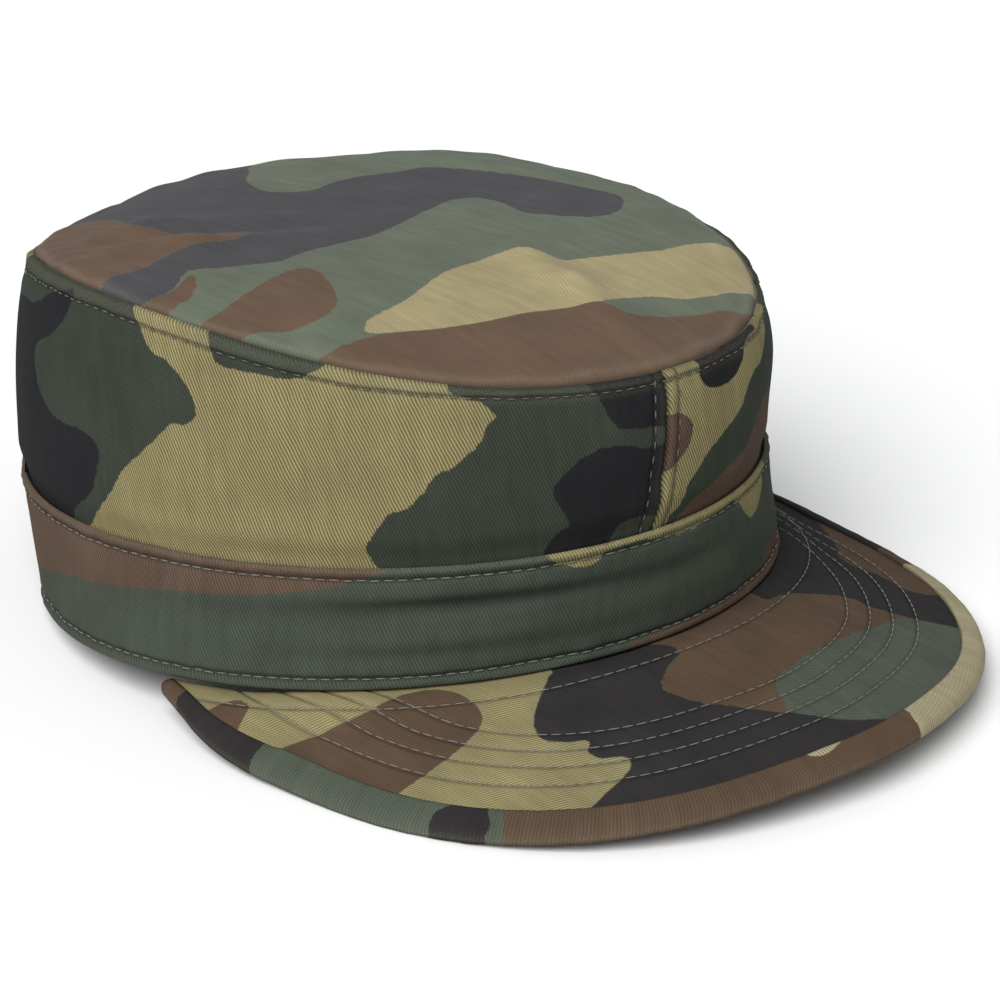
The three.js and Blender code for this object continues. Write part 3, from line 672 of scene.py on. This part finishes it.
def make_side(name, left):
    rows, cols = 190, 64
    t = np.linspace(0, 1, cols)
    bottom = BAND_HEIGHT - FOOT_DEPTH
    share = np.ones((rows, 1)) * (0.25 * t + 0.75 * np.sin(t * math.pi / 2))
    i = np.linspace(0, 1, rows)[:, None]
    front = front_seam(np.clip((share * SIDE_REACH - FOOT_DEPTH) / (SIDE_REACH - FOOT_DEPTH), 0, 1))
    hand = 1 if left else -1
    start, stop = front + hand * SEAM_GAP, hand * (180 - SEAM_GAP)
    ease = mix(i, (1 - np.cos(i * math.pi)) / 2, 0.4)
    angle = mix(start, stop, ease)
    top = seam_height(angle)
    z = bottom + (top - bottom) * share
    outer = side_surface(angle, z)
    v = (z - BAND_HEIGHT) / (top - BAND_HEIGHT)
    plan, _ = side_face(angle, np.maximum(v, 0))
    foot = smooth((BAND_HEIGHT - z) / 1.0)[..., None]
    behind = outward(band_face(angle, np.minimum(z, BAND_HEIGHT)), angle, -BAND_THICKNESS - GAP)
    ends = edge_roll(np.minimum(top - z, z - bottom), 0.7)
    inner = raised(outward(mix(plan, behind, foot), angle, -SIDE_THICKNESS + ends * 0.6), z)
    uv = np.stack([angle * ROUND, z], -1)
    marks = print_fields(uv, SIDE_LEFT_PRINT if left else SIDE_RIGHT_PRINT, across=ROUND)
    panel = panel_distance(angle, v)
    d_top, d_panel = (top - z) - seam_row(angle), panel - PANEL_ROW
    near = np.minimum(np.abs(d_top), np.abs(d_panel))
    marks["row"] = np.clip(near, 0, ROW_FADE) * np.sign(d_top) * np.sign(d_panel)
    marks["wear"] = np.maximum(groove(top - z - 1.6, 1.8), 0.5 * groove(panel - 1.5, 0.9))
    # painted shade along the top seam and the panel seams
    marks["crease_shade"] = np.maximum(0.3 * groove(top - z, 0.35), 0.8 * groove(panel, 0.35))
    return sewn_shell(name, rest(outer), rest(inner), uv, marks, ring=False)


# crown top
def top_surface(r, angle):
    edge = outward(oval(TOP_SEAM, TOP_SEAM_WAVES, angle), angle, -0.9 - swells(SEAM_INSETS, angle, 360))
    x, y = edge[..., 0] * r, edge[..., 1] * r
    plain = np.stack([x, y, top_height(x, y, r, angle)], -1)
    from_edge = (1 - r) * TOP_RADIUS
    pucker = 0.42 * groove(from_edge - 3, 7.0) * ripple(plain * (1, 1, 0), 7, 13, 21)
    uneven = 0.4 * smooth(from_edge / 12) * ripple(plain * (1, 1, 0), 25, 70, 22)
    allowance = 0.45 * smooth((9 - from_edge) / 3) * smooth(from_edge / 2)
    plain[..., 2] += (pucker + uneven + allowance) * smooth(from_edge / 2.5) - edge_roll(from_edge, 1.8)
    return plain


def make_top():
    rows, cols = 330, 52
    angle = ring_angles(rows, cols)
    t = np.linspace(0, 1, cols + 1)[1:]
    r = np.ones((rows, 1)) * np.sin(t * math.pi / 2) ** 0.9
    outer = top_surface(r, angle)
    thinner = 0.5 * edge_roll((1 - r) * TOP_RADIUS, 1.5)
    inner = outer - (0, 0, TOP_THICKNESS) + np.stack([0 * r, 0 * r, thinner], -1)
    centre = top_surface(np.zeros((1,)), np.zeros((1,)))[0]
    centres = rest(np.stack([centre, centre - (0, 0, TOP_THICKNESS)]))
    uv = outer[..., :2]
    marks = print_fields(uv, TOP_PRINT)
    marks["row"] = np.full(r.shape, ROW_FADE)
    marks["wear"] = groove((1 - r) * TOP_RADIUS - 2.2, 1.2)
    # painted shade round the top panel's edge, along its seam
    marks["crease_shade"] = groove((1 - r) * TOP_RADIUS, 0.9)
    middle = {key: float(values[:, 0].mean()) for key, values in marks.items()}
    return sewn_disc("top_panel", rest(outer), rest(inner), uv, marks, centres, middle)


# visor
def visor_rows_at(s):
    """how far inside the edge each outer stitch row runs"""
    forward = np.cos(np.radians(90 * s)) ** 2
    return [mix(side, tip, forward) for side, tip in zip(VISOR_ROWS_AT_SIDE, VISOR_ROWS_AT_TIP)]


def rim_row(angle):
    """how far outside the rim the innermost stitch row runs; it closes in at the wearer's right"""
    return mix(VISOR_ROW_AT_RIGHT, VISOR_ROW_AT_RIM, smooth((angle + 78) / 55))


def visor_plan(s, t):
    """a plan point on the visor; t runs from the root to under the binding"""
    return mix(visor_root(s), visor_inset(s, BINDING_THICKNESS + GAP), np.asarray(t)[..., None])


def visor_place(plan):
    """where along the visor the mesh lies that covers each plan point"""
    s = np.linspace(-1, 1, 401)[:, None] * np.ones(60)
    net = visor_plan(s, np.ones((401, 1)) * np.linspace(0, 1, 60)).reshape(-1, 2)
    nearest = np.empty(len(plan), int)
    for start in range(0, len(plan), 200):
        part = plan[start:start + 200]
        nearest[start:start + 200] = ((part[:, None] - net[None]) ** 2).sum(-1).argmin(1)
    return s.ravel()[nearest]


def make_visor():
    rows, cols = 340, 62
    s = np.linspace(-1, 1, rows)[:, None] * np.ones(cols)
    t = np.ones((rows, 1)) * np.linspace(0, 1, cols)
    plan = visor_plan(s, t)
    flat = plan.reshape(-1, 2)
    along = np.linspace(-1, 1, 400)
    edge = visor_inset(along, 0.0)
    from_edge = distance_to_line(flat, edge)
    distance, sign = np.full(len(flat), 1e9), np.ones(len(flat))
    nearest = np.argmin(((flat[:, None] - edge[None, ::4]) ** 2).sum(-1), 1) * 4
    for d in visor_rows_at(along):
        away = from_edge - d[nearest]
        distance, sign = np.minimum(distance, np.abs(away)), sign * np.sign(away)
    rim = oval(RIM, RIM_WAVES, np.linspace(-95, 95, 200))
    away = distance_to_line(flat, rim) - rim_row(s * VISOR_END_ANGLE).ravel()
    distance, sign = np.minimum(distance, np.abs(away)), sign * np.sign(away)
    row = (np.clip(distance, 0, ROW_FADE) * sign).reshape(plan.shape[:2])
    middle = visor_middle(s, plan)
    lift = VISOR_THICKNESS / 2 - 0.25 * groove(row, 0.9)
    lift = lift + 0.12 * ripple(raised(plan, middle), 14, 40, 31)
    outer = raised(plan, middle + lift)
    inner = raised(plan, middle - VISOR_THICKNESS / 2)
    marks = print_fields(plan, VISOR_PRINT)
    marks["row"] = row
    marks["wear"] = marks["crease_shade"] = 0 * row
    return sewn_shell("visor_cloth", rest(outer), rest(inner), plan, marks, ring=False)


# binding
def binding_section(s):
    """insets and lifts of the strip's outer face, from its upper edge round to its lower one"""
    reach = binding_reach(s)
    half = VISOR_THICKNESS / 2
    out = half + BINDING_GAP + BINDING_THICKNESS
    shape = [
        (reach, half + BINDING_LIP), (reach - 0.25, out - 0.25), (reach - 0.8, out),
        (reach * 0.8, out + 0.05), (reach * 0.6, out + 0.05), (reach * 0.42, out + 0.02),
    ]
    shape += [(reach * near, out * rise) for near, rise in BINDING_TURN]
    shape += [(0 * reach, 0.0)]
    shape += [(reach * near, -out * rise) for near, rise in BINDING_TURN[::-1]]
    shape += [(reach * near, -out) for near in (0.42, 0.6, 0.8)]
    shape += [(reach - 0.8, -out), (reach - 0.25, -out + 0.25), (reach, -half - BINDING_LIP)]
    return [np.stack([value * np.ones_like(s) for value in column], -1) for column in zip(*shape)]


def make_binding():
    rows = 420
    s = np.linspace(-1, 1, rows)
    insets, lifts = binding_section(s)
    cols = insets.shape[1]
    s2 = s[:, None] * np.ones(cols)
    plan = visor_inset(s2, insets)
    middle = visor_middle(s2, plan)
    lumps = 0.12 * ripple(raised(plan, middle), 5, 12, 41)
    outer = raised(visor_inset(s2, insets - 0.4 * lumps), middle + lifts * (1 + 0.3 * lumps))
    inset_in = np.maximum(insets, BINDING_THICKNESS)
    lift_in = np.clip(lifts, -VISOR_THICKNESS / 2 - 0.05, VISOR_THICKNESS / 2 + 0.05)
    plan_in = visor_inset(s2, np.minimum(inset_in, insets + 0.9))
    inner = raised(plan_in, middle + lift_in)
    edge = visor_inset(s, 0.0)
    length = np.concatenate([[0], np.cumsum(np.hypot(*np.diff(edge, axis=0).T))])
    steps = [np.diff(values[0], prepend=values[0, 0]) for values in (insets, lifts)]
    across = np.cumsum(np.hypot(*steps))
    uv = np.stack(np.broadcast_arrays(length[:, None], across[None]), -1)
    marks = print_fields(plan, BINDING_PRINT)
    marks["row"] = np.full(plan.shape[:2], ROW_FADE)
    marks["wear"] = groove(lifts, 0.8)
    # painted shade along the binding's edge, where it meets the visor
    marks["crease_shade"] = 0.8 * groove(insets - binding_reach(s2), 0.3)
    return sewn_shell("visor_edge_binding", rest(outer), rest(inner), uv, marks, ring=False)


# node helpers
def new_group(name, inputs, outputs, family="ShaderNodeTree"):
    tree = bpy.data.node_groups.new(name, family)
    for label, kind, value in inputs:
        socket = tree.interface.new_socket(label, in_out="INPUT", socket_type="NodeSocket" + kind)
        if value is not None:
            socket.default_value = value
    for label, kind in outputs:
        tree.interface.new_socket(label, in_out="OUTPUT", socket_type="NodeSocket" + kind)
    return tree, tree.nodes.new("NodeGroupInput").outputs, tree.nodes.new("NodeGroupOutput").inputs


def put(tree, socket, value):
    if isinstance(value, bpy.types.NodeSocket):
        tree.links.new(value, socket)
    else:
        socket.default_value = value


def feed(tree, node, inputs):
    for key, value in inputs.items():
        put(tree, node.inputs[key], value)
    return node


def sums(tree, operation, *values):
    """a maths node; gives its result"""
    node = tree.nodes.new("ShaderNodeMath")
    node.operation = operation
    return feed(tree, node, dict(enumerate(values))).outputs[0]


def maths(tree):
    """one tree's sums by short names: adding, taking away, multiplying, dividing, multiplying then adding"""
    def doing(operation):
        return lambda *values: sums(tree, operation, *values)
    return [doing(operation) for operation in ("ADD", "SUBTRACT", "MULTIPLY", "DIVIDE", "MULTIPLY_ADD")]


def blend(tree, factor, first, second, mode="MIX"):
    node = tree.nodes.new("ShaderNodeMix")
    node.data_type = "RGBA"
    node.blend_type = mode
    return feed(tree, node, {0: factor, 6: first, 7: second}).outputs[2]


def step(tree, value, low, high):
    """a smooth mask: 0 below low, 1 above high"""
    node = tree.nodes.new("ShaderNodeMapRange")
    node.interpolation_type = "SMOOTHSTEP"
    return feed(tree, node, {0: value, 1: low, 2: high}).outputs[0]


def noise(tree, place, scale, detail=2.0, stretch=None):
    if stretch:
        mapping = tree.nodes.new("ShaderNodeMapping")
        place = feed(tree, mapping, {"Scale": stretch, "Vector": place}).outputs[0]
    node = tree.nodes.new("ShaderNodeTexNoise")
    return feed(tree, node, {"Vector": place, "Scale": scale, "Detail": detail}).outputs[0]


# stitches
def visor_threads(plan, kept):
    """one stitch row on the visor's upper face and one under it"""
    middle = visor_middle(visor_place(plan), plan)
    half = VISOR_THICKNESS / 2
    sides = (half - VISOR_THREAD_SINK[0], -half + VISOR_THREAD_SINK[1])
    return [rest(raised(plan, middle + side))[kept] for side in sides]


def stitch_rows():
    """the paths of all stitch rows, each a run of points on the cloth"""
    around = np.linspace(-180, 180, 721)
    rows = {"band": [], "crown": [], "visor": []}
    for z in BAND_ROWS:
        rows["band"].append(rest(band_surface(around, np.full_like(around, z), BAND_THREAD_LIFT)))
    front_top = front_seam(1.0)
    end = 180 - ROW_END_GAP
    for first, last in ((-end, front_top - ROW_END_GAP), (front_top + ROW_END_GAP, end)):
        angle = np.linspace(first, last, 420)
        height = seam_height(angle) - seam_row(angle)
        rows["crown"].append(rest(side_surface(angle, height, CROWN_THREAD_LIFT)))
    up = np.linspace(0, 1, 60)
    # each panel seam with the sides of it that are sewn
    seams = ((front_seam(up), (-1, 1)), (np.full_like(up, 180.0), (-1,)), (np.full_like(up, -180.0), (1,)))
    for seam, sides in seams:
        for side in sides:
            angle = seam + side * PANEL_ROW / ROUND
            height = mix(BAND_HEIGHT + 0.5, seam_height(angle) - seam_row(angle), up)
            rows["crown"].append(rest(side_surface(angle, height, CROWN_THREAD_LIFT)))
    s = np.linspace(-VISOR_ROW_SPAN, VISOR_ROW_SPAN, 500)
    for inset in visor_rows_at(s):
        plan = visor_inset(s, inset)
        outside = distance_to_line(plan, oval(RIM, RIM_WAVES, around), closed=True)
        clear = (outside > 1.5) & (np.hypot(plan[:, 0] / RIM[0], plan[:, 1] / RIM[1]) > 1)
        rows["visor"] += visor_threads(plan, clear)
    angle = np.linspace(-VISOR_END_ANGLE, VISOR_END_ANGLE, 300)
    plan = outward(oval(RIM, RIM_WAVES, angle), angle, rim_row(angle))
    near_edge = distance_to_line(plan, visor_inset(np.linspace(-1, 1, 400), 0.0))
    kept = (near_edge > BINDING_WIDTH) & (plan[:, 1] < VISOR_CORNER[1] - CORNER_CLEARANCE)
    rows["visor"] += visor_threads(plan, kept)
    return rows


def stitch_tree(thread):
    """lays short threads end to end along each edge path"""
    tree, given, result = new_group(
        "stitch rows",
        (("Paths", "Geometry", None), ("Stitch Pitch", "Float", 3.5), ("Stitch Length", "Float", 3.0),
         ("Thread Radius", "Float", 0.25), ("Unevenness", "Float", 0.1), ("Seed", "Int", 7)),
        (("Stitches", "Geometry"),),
        "GeometryNodeTree",
    )
    _, less, times, _, _ = maths(tree)

    def lay(kind, inputs):
        return feed(tree, tree.nodes.new(kind), inputs)

    curve = lay("GeometryNodeMeshToCurve", {"Mesh": given["Paths"]})
    points = tree.nodes.new("GeometryNodeResampleCurve")
    points.mode = "LENGTH"
    feed(tree, points, {"Curve": curve.outputs["Curve"], "Length": given["Stitch Pitch"]})
    tangent = tree.nodes.new("GeometryNodeInputTangent")
    turn = tree.nodes.new("FunctionNodeAlignRotationToVector")
    turn.axis = "Z"
    feed(tree, turn, {"Vector": tangent.outputs["Tangent"]})
    bead = lay("GeometryNodeMeshUVSphere", {"Segments": 6, "Rings": 5, "Radius": 1.0})
    radius = given["Thread Radius"]
    size = lay("ShaderNodeCombineXYZ", {"X": radius, "Y": radius, "Z": times(given["Stitch Length"], 0.5)})
    chance = tree.nodes.new("FunctionNodeRandomValue")
    chance.data_type = "FLOAT"
    feed(tree, chance, {2: less(1.0, given["Unevenness"]), 3: 1.0, "Seed": given["Seed"]})
    scale = tree.nodes.new("ShaderNodeVectorMath")
    scale.operation = "SCALE"
    feed(tree, scale, {0: size.outputs[0], "Scale": chance.outputs[1]})
    place = lay("GeometryNodeInstanceOnPoints", {
        "Points": points.outputs["Curve"], "Instance": bead.outputs["Mesh"],
        "Rotation": turn.outputs["Rotation"], "Scale": scale.outputs["Vector"]})
    real = lay("GeometryNodeRealizeInstances", {"Geometry": place.outputs["Instances"]})
    soft = lay("GeometryNodeSetShadeSmooth", {"Geometry": real.outputs["Geometry"]})
    coat = lay("GeometryNodeSetMaterial", {"Geometry": soft.outputs["Geometry"], "Material": thread})
    put(tree, result["Stitches"], coat.outputs["Geometry"])
    return tree


def make_stitches(name, paths, tree, sizes, seed):
    """a plain mesh of all stitches along the paths"""
    points, edges = [], []
    for path in paths:
        edges += [(len(points) + k, len(points) + k + 1) for k in range(len(path) - 1)]
        points += (path * MM).tolist()
    guide_mesh = bpy.data.meshes.new(name + "_guide")
    guide_mesh.from_pydata(points, edges, [])
    guide = add_object(name + "_guide", guide_mesh)
    modifier = guide.modifiers.new("stitches", "NODES")
    modifier.node_group = tree
    sockets = {item.name: item.identifier for item in tree.interface.items_tree if item.item_type == "SOCKET"}
    for label, value in {**sizes, "Unevenness": STITCH_UNEVENNESS, "Seed": seed}.items():
        modifier[sockets[label]] = value
    graph = bpy.context.evaluated_depsgraph_get()
    mesh = bpy.data.meshes.new_from_object(guide.evaluated_get(graph))
    mesh.name = name
    bpy.data.objects.remove(guide)
    return add_object(name, mesh)


# materials
def paint(red, green, blue):
    """a colour as a painter reads it, 0 to 255, in scene light"""
    def linear(v):
        v = v / 255
        return v / 12.92 if v <= 0.04045 else ((v + 0.055) / 1.055) ** 2.4
    return (linear(red), linear(green), linear(blue), 1.0)


def twill_group():
    """diagonal ribs of twill with the small crossing threads that break them"""
    tree, given, result = new_group(
        "twill weave",
        (("Cloth", "Vector", None), ("Rib Spacing", "Float", 0.8), ("Rib Slope", "Float", 0.38)),
        (("Height", "Float"), ("Shade", "Float")),
    )
    add, less, times, over, fit = maths(tree)
    cloth, spacing = given["Cloth"], given["Rib Spacing"]
    parts = feed(tree, tree.nodes.new("ShaderNodeSeparateXYZ"), {0: cloth}).outputs
    x, y = parts[0], parts[1]
    c, s = (sums(tree, turn, given["Rib Slope"]) for turn in ("COSINE", "SINE"))
    across = add(times(x, c), times(y, s))
    along = less(times(y, c), times(x, s))

    def swing(turns):
        return fit(sums(tree, "SINE", times(turns, 2 * math.pi)), 0.5, 0.5)

    turns = over(add(across, noise(tree, cloth, 0.12)), spacing)
    picks = add(over(along, times(spacing, PICK_SHARE)), times(turns, 0.5))
    broken = times(swing(turns), fit(swing(picks), 0.35, 0.65))
    put(tree, result["Height"], add(broken, times(noise(tree, cloth, 1.6, 3.0), 0.5)))
    put(tree, result["Shade"], broken)
    return tree


def print_group():
    """the four printed colours, with slightly wandering borders"""
    fields = [(ink.capitalize() + " Field", "Float", -1.0) for ink in INKS]
    colours = [(ink, "Color", None) for ink in ("Green", "Sand", "Brown", "Black")]
    tree, given, result = new_group(
        "woodland print", [("Cloth", "Vector", None)] + fields + colours, (("Colour", "Color"),))
    add, _, _, _, fit = maths(tree)
    wander = fit(noise(tree, given["Cloth"], 0.35, 3.0), 1.6, -0.8)
    frayed = fit(noise(tree, given["Cloth"], 1.7, 1.0), 0.9, -0.45)
    wander = add(wander, frayed)
    colour = given["Green"]
    for ink in ("Sand", "Brown", "Black"):
        mask = step(tree, add(given[ink + " Field"], wander), -INK_BORDER, INK_BORDER)
        colour = blend(tree, mask, colour, given[ink])
    put(tree, result["Colour"], colour)
    return tree


def finish_group():
    """edges paled by wear, dimpled stitch rows with painted shadow beside them, painted shade in creases and
    along seams, the paler wrong side and uneven darker mottles and long streaks
    """
    tree, given, result = new_group(
        "cloth wear and painted shade",
        (("Cloth", "Vector", None), ("Colour", "Color", None), ("Shade", "Float", 0.5), ("Row", "Float", 4.0),
         ("Wear", "Float", 0.0), ("Crease_shade", "Float", 0.0), ("Inside", "Float", 0.0),
         ("Rib Contrast", "Float", 0.5), ("Row Shadow", "Float", 0.36), ("Dust", "Color", None),
         ("Wrong Side", "Color", None)),
        (("Colour", "Color"), ("Dimple", "Float")),
    )
    _, less, times, _, fit = maths(tree)
    cloth = given["Cloth"]
    light = feed(tree, tree.nodes.new("ShaderNodeRGBToBW"), {0: given["Colour"]}).outputs[0]
    strength = times(fit(light, 4.5, 0.42), given["Rib Contrast"])
    rib = fit(less(given["Shade"], 0.4), strength, 1.0)
    mottle = fit(noise(tree, cloth, 0.06, 4.0), 0.44, 0.78)
    streak = fit(noise(tree, cloth, 0.4, 2.0, stretch=(1.0, 0.14, 1.0)), 0.36, 0.82)
    level = times(times(rib, mottle), streak)
    grey = feed(tree, tree.nodes.new("ShaderNodeCombineColor"), {0: level, 1: level, 2: level})
    colour = blend(tree, 1.0, given["Colour"], grey.outputs[0], "MULTIPLY")
    ragged = times(given["Wear"], step(tree, noise(tree, cloth, 1.8, 3.0), 0.15, 0.75))
    colour = blend(tree, times(ragged, 0.15), colour, given["Dust"])
    # painted shade: darkens creases and seams
    colour = blend(tree, times(given["Crease_shade"], 0.7), colour, CREASE_SHADE_COLOUR)
    line = step(tree, sums(tree, "ABSOLUTE", given["Row"]), 0.0, 1.1)
    # painted shadow: darkens the cloth beside each stitch row
    row_shaded = blend(tree, times(less(1.0, line), given["Row Shadow"]), colour, ROW_SHADOW_COLOUR)
    wrong = blend(tree, 0.62, row_shaded, given["Wrong Side"])
    put(tree, result["Colour"], blend(tree, step(tree, given["Inside"], 0.3, 0.7), row_shaded, wrong))
    put(tree, result["Dimple"], line)
    return tree


def new_material(name):
    material = bpy.data.materials.new(name)
    material.use_nodes = True
    return material, material.node_tree, material.node_tree.nodes["Principled BSDF"]


def read_mark(tree, name):
    node = tree.nodes.new("ShaderNodeAttribute")
    node.attribute_name = name
    return node.outputs["Fac"]


def cloth_material(name, inks, rib_slope, rib_spacing=0.8, rib_contrast=1.15, rib_relief=0.6, sheen=0.0,
                   row_shadow=0.36):
    """one printed twill; inks holds its green, sand, brown and black"""
    material, tree, shader = new_material(name)
    uv = tree.nodes.new("ShaderNodeUVMap")
    uv.uv_map = "cloth"
    place = uv.outputs[0]
    weave, printed, wear_and_shade = (tree.nodes.new("ShaderNodeGroup") for _ in range(3))
    weave.node_tree, printed.node_tree, wear_and_shade.node_tree = WEAVE, PRINT, WEAR_AND_SHADE_GROUP
    feed(tree, weave, {"Cloth": place, "Rib Spacing": rib_spacing, "Rib Slope": rib_slope})
    fields = {ink.capitalize() + " Field": read_mark(tree, ink) for ink in INKS}
    feed(tree, printed, {"Cloth": place, **fields, **inks})
    marks = {mark.capitalize(): read_mark(tree, mark) for mark in ("row", "wear", "crease_shade", "inside")}
    feed(tree, wear_and_shade, {
        "Cloth": place, "Colour": printed.outputs["Colour"], "Shade": weave.outputs["Shade"], **marks,
        "Rib Contrast": rib_contrast, "Row Shadow": row_shadow, "Dust": DUST, "Wrong Side": WRONG_SIDE})
    put(tree, shader.inputs["Base Color"], wear_and_shade.outputs["Colour"])
    shader.inputs["Roughness"].default_value = 0.9
    shader.inputs["Specular IOR Level"].default_value = 0.06
    shader.inputs["Sheen Weight"].default_value = sheen
    shader.inputs["Sheen Roughness"].default_value = 0.45
    bump, dimple = (tree.nodes.new("ShaderNodeBump") for _ in range(2))
    feed(tree, dimple, {"Strength": 0.7, "Distance": ROW_DEPTH, "Height": wear_and_shade.outputs["Dimple"]})
    feed(tree, bump, {"Strength": rib_relief, "Distance": WEAVE_DEPTH, "Height": weave.outputs["Height"],
                      "Normal": dimple.outputs["Normal"]})
    put(tree, shader.inputs["Normal"], bump.outputs["Normal"])
    return material


def thread_material(name, dull, bright):
    material, tree, shader = new_material(name)
    patch = noise(tree, tree.nodes.new("ShaderNodeTexCoord").outputs["Object"], 400.0)
    put(tree, shader.inputs["Base Color"], blend(tree, patch, paint(*dull), paint(*bright)))
    shader.inputs["Roughness"].default_value = 0.7
    shader.inputs["Sheen Weight"].default_value = 0.15
    return material


def four_inks(green, sand, brown, black):
    return {"Green": paint(*green), "Sand": paint(*sand), "Brown": paint(*brown), "Black": paint(*black)}


# shares of the rib spacing, millimetres and, for the two bumps, metres
PICK_SHARE = 0.62
INK_BORDER = 0.22
WEAVE_DEPTH = 0.00018
ROW_DEPTH = 0.0005
# colours of painted shade: in creases and along seams, and beside stitch rows
CREASE_SHADE_COLOUR = (0.012, 0.012, 0.012, 1)
ROW_SHADOW_COLOUR = (0.01, 0.01, 0.01, 1)
DUST = paint(150, 145, 124)
WRONG_SIDE = paint(104, 102, 84)
WEAVE, PRINT, WEAR_AND_SHADE_GROUP = twill_group(), print_group(), finish_group()

SIDE_INKS = four_inks((52, 57, 49), (121, 113, 80), (80, 65, 55), (33, 33, 35))
# the band's green is lighter than the sides' green: painted sheen for the light its sloping face catches
BAND_INKS_WITH_PAINTED_SHEEN = four_inks((63, 69, 60), (121, 113, 80), (82, 67, 56), (33, 33, 35))
# the top's inks are lighter than the sides': painted sheen from the light above
TOP_INKS_WITH_PAINTED_SHEEN = four_inks((94, 101, 87), (151, 140, 106), (95, 77, 63), (70, 69, 72))
VISOR_INKS = four_inks((74, 80, 70), (126, 118, 85), (82, 67, 54), (46, 44, 44))
BINDING_INKS = four_inks((74, 80, 70), (147, 139, 112), (82, 67, 54), (44, 42, 42))
CLOTH = {
    "band_cloth": cloth_material("band twill", BAND_INKS_WITH_PAINTED_SHEEN, 0.5, rib_contrast=0.95),
    "side_cloth": cloth_material("crown side twill", SIDE_INKS, 0.38),
    "top_cloth": cloth_material("crown top twill", TOP_INKS_WITH_PAINTED_SHEEN, -0.47, rib_contrast=0.2, rib_relief=0.25,
                                sheen=0.05),
    "visor_cloth": cloth_material("visor twill", VISOR_INKS, 1.03, rib_spacing=0.7, rib_contrast=0.75,
                                  rib_relief=0.4, row_shadow=0.14),
    "binding_cloth": cloth_material("binding twill", BINDING_INKS, 0.2, rib_spacing=0.9, rib_contrast=0.55,
                                    rib_relief=0.4),
}
PALE_THREAD = thread_material("pale grey sewing thread", (82, 83, 73), (122, 122, 110))
DULL_THREAD = thread_material("dull green sewing thread", (56, 57, 50), (100, 100, 88))
VISOR_THREAD = thread_material("visor sewing thread", (96, 95, 86), (134, 132, 120))


# studio
def make_camera():
    a, e, roll = (math.radians(v) for v in (CAMERA_AZIMUTH, CAMERA_ELEVATION, CAMERA_ROLL))
    back = np.array([math.sin(a) * math.cos(e), -math.cos(a) * math.cos(e), math.sin(e)])
    level = np.array([math.cos(a), math.sin(a), 0.0])
    over = np.cross(back, level)
    right = level * math.cos(roll) + over * math.sin(roll)
    up = over * math.cos(roll) - level * math.sin(roll)
    data = bpy.data.cameras.new("studio camera")
    data.sensor_width = SENSOR_WIDTH
    data.lens = SENSOR_WIDTH * FOCAL_SHARE
    data.clip_start = CLIP_START
    camera = add_object("studio camera", data)
    turn = Matrix([[right[k], up[k], back[k], CAMERA_PLACE[k] * MM] for k in range(3)] + [[0, 0, 0, 1]])
    camera.matrix_world = turn
    bpy.context.scene.camera = camera


def make_light(name, place, spread, power):
    """a broad far light shining from a place towards the cap"""
    data = bpy.data.lights.new(name, "SUN")
    data.angle = math.radians(spread)
    data.energy = power
    lamp = add_object(name, data)
    lamp.rotation_mode = "QUATERNION"
    lamp.rotation_quaternion = Vector([-v for v in place]).to_track_quat("-Z", "Y")


def make_studio():
    world = bpy.data.worlds.new("studio air")
    world.use_nodes = True
    air = world.node_tree.nodes["Background"]
    air.inputs["Color"].default_value = AIR_COLOUR
    air.inputs["Strength"].default_value = AIR_STRENGTH
    bpy.context.scene.world = world
    bpy.context.scene.view_settings.view_transform = "Standard"
    half, low = FLOOR_HALF, -FLOOR_DROP
    mesh = bpy.data.meshes.new("floor")
    mesh.from_pydata([(-half, -half, low), (half, -half, low), (half, half, low), (-half, half, low)],
                     [], [(0, 1, 2, 3)])
    floor = add_object("floor", mesh)
    material, tree, shader = new_material("pale floor")
    patch = noise(tree, tree.nodes.new("ShaderNodeTexCoord").outputs["Object"], 1.5)
    put(tree, shader.inputs["Base Color"], blend(tree, patch, (0.87, 0.87, 0.86, 1), (0.9, 0.9, 0.9, 1)))
    shader.inputs["Roughness"].default_value = 0.8
    mesh.materials.append(material)
    make_light("high key", *KEY_LIGHT)


# in metres; the floor lies a little under the cap's lowest points
FLOOR_HALF = 3.0
FLOOR_DROP = 0.0002
# where it shines from, its spread in degrees and its power
KEY_LIGHT = ((-1.15, -0.35, 1.35), 50, 3.35)
AIR_COLOUR = (0.96, 0.98, 1.0, 1)
AIR_STRENGTH = 0.42

make_camera()
make_studio()

# pieces
paths = stitch_rows()
# piece, node, slot, flat size in metres, flat area, how it is held
PIECES = (
    (make_band(), "band", "band_cloth", (0.61, 0.036), None, "folded"),
    (make_side("right_side_panel", False), "crown_side_right", "side_cloth", (0.30, 0.075), 0.0185, "folded"),
    (make_side("left_side_panel", True), "crown_side_left", "side_cloth", (0.31, 0.075), 0.0195, "folded"),
    (make_top(), "crown_top", "top_cloth", (0.180, 0.209), 0.0296, "stretched"),
    (make_visor(), "visor", "visor_cloth", (0.208, 0.150), 0.0155, "stretched"),
    (make_binding(), "visor_binding", "binding_cloth", (0.43, 0.018), None, "folded"),
)
for piece, node, slot, flat, area, held in PIECES:
    piece.data.materials.append(CLOTH[slot])
    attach(piece, "root")
    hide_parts(node)
STITCHED = (
    ("band", "band_cloth", 1, BAND_STITCH, PALE_THREAD),
    ("crown", "side_cloth", 2, CROWN_STITCH, DULL_THREAD),
    ("visor", "visor_cloth", 3, VISOR_STITCH, VISOR_THREAD),
)
for name, slot, seed, (length, radius), thread in STITCHED:
    sizes = {"Stitch Pitch": STITCH_PITCH * MM, "Stitch Length": length * MM, "Thread Radius": radius * MM}
    stitches = make_stitches(name + "_stitches", paths[name], stitch_tree(thread), sizes, seed)
    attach(stitches, "root")
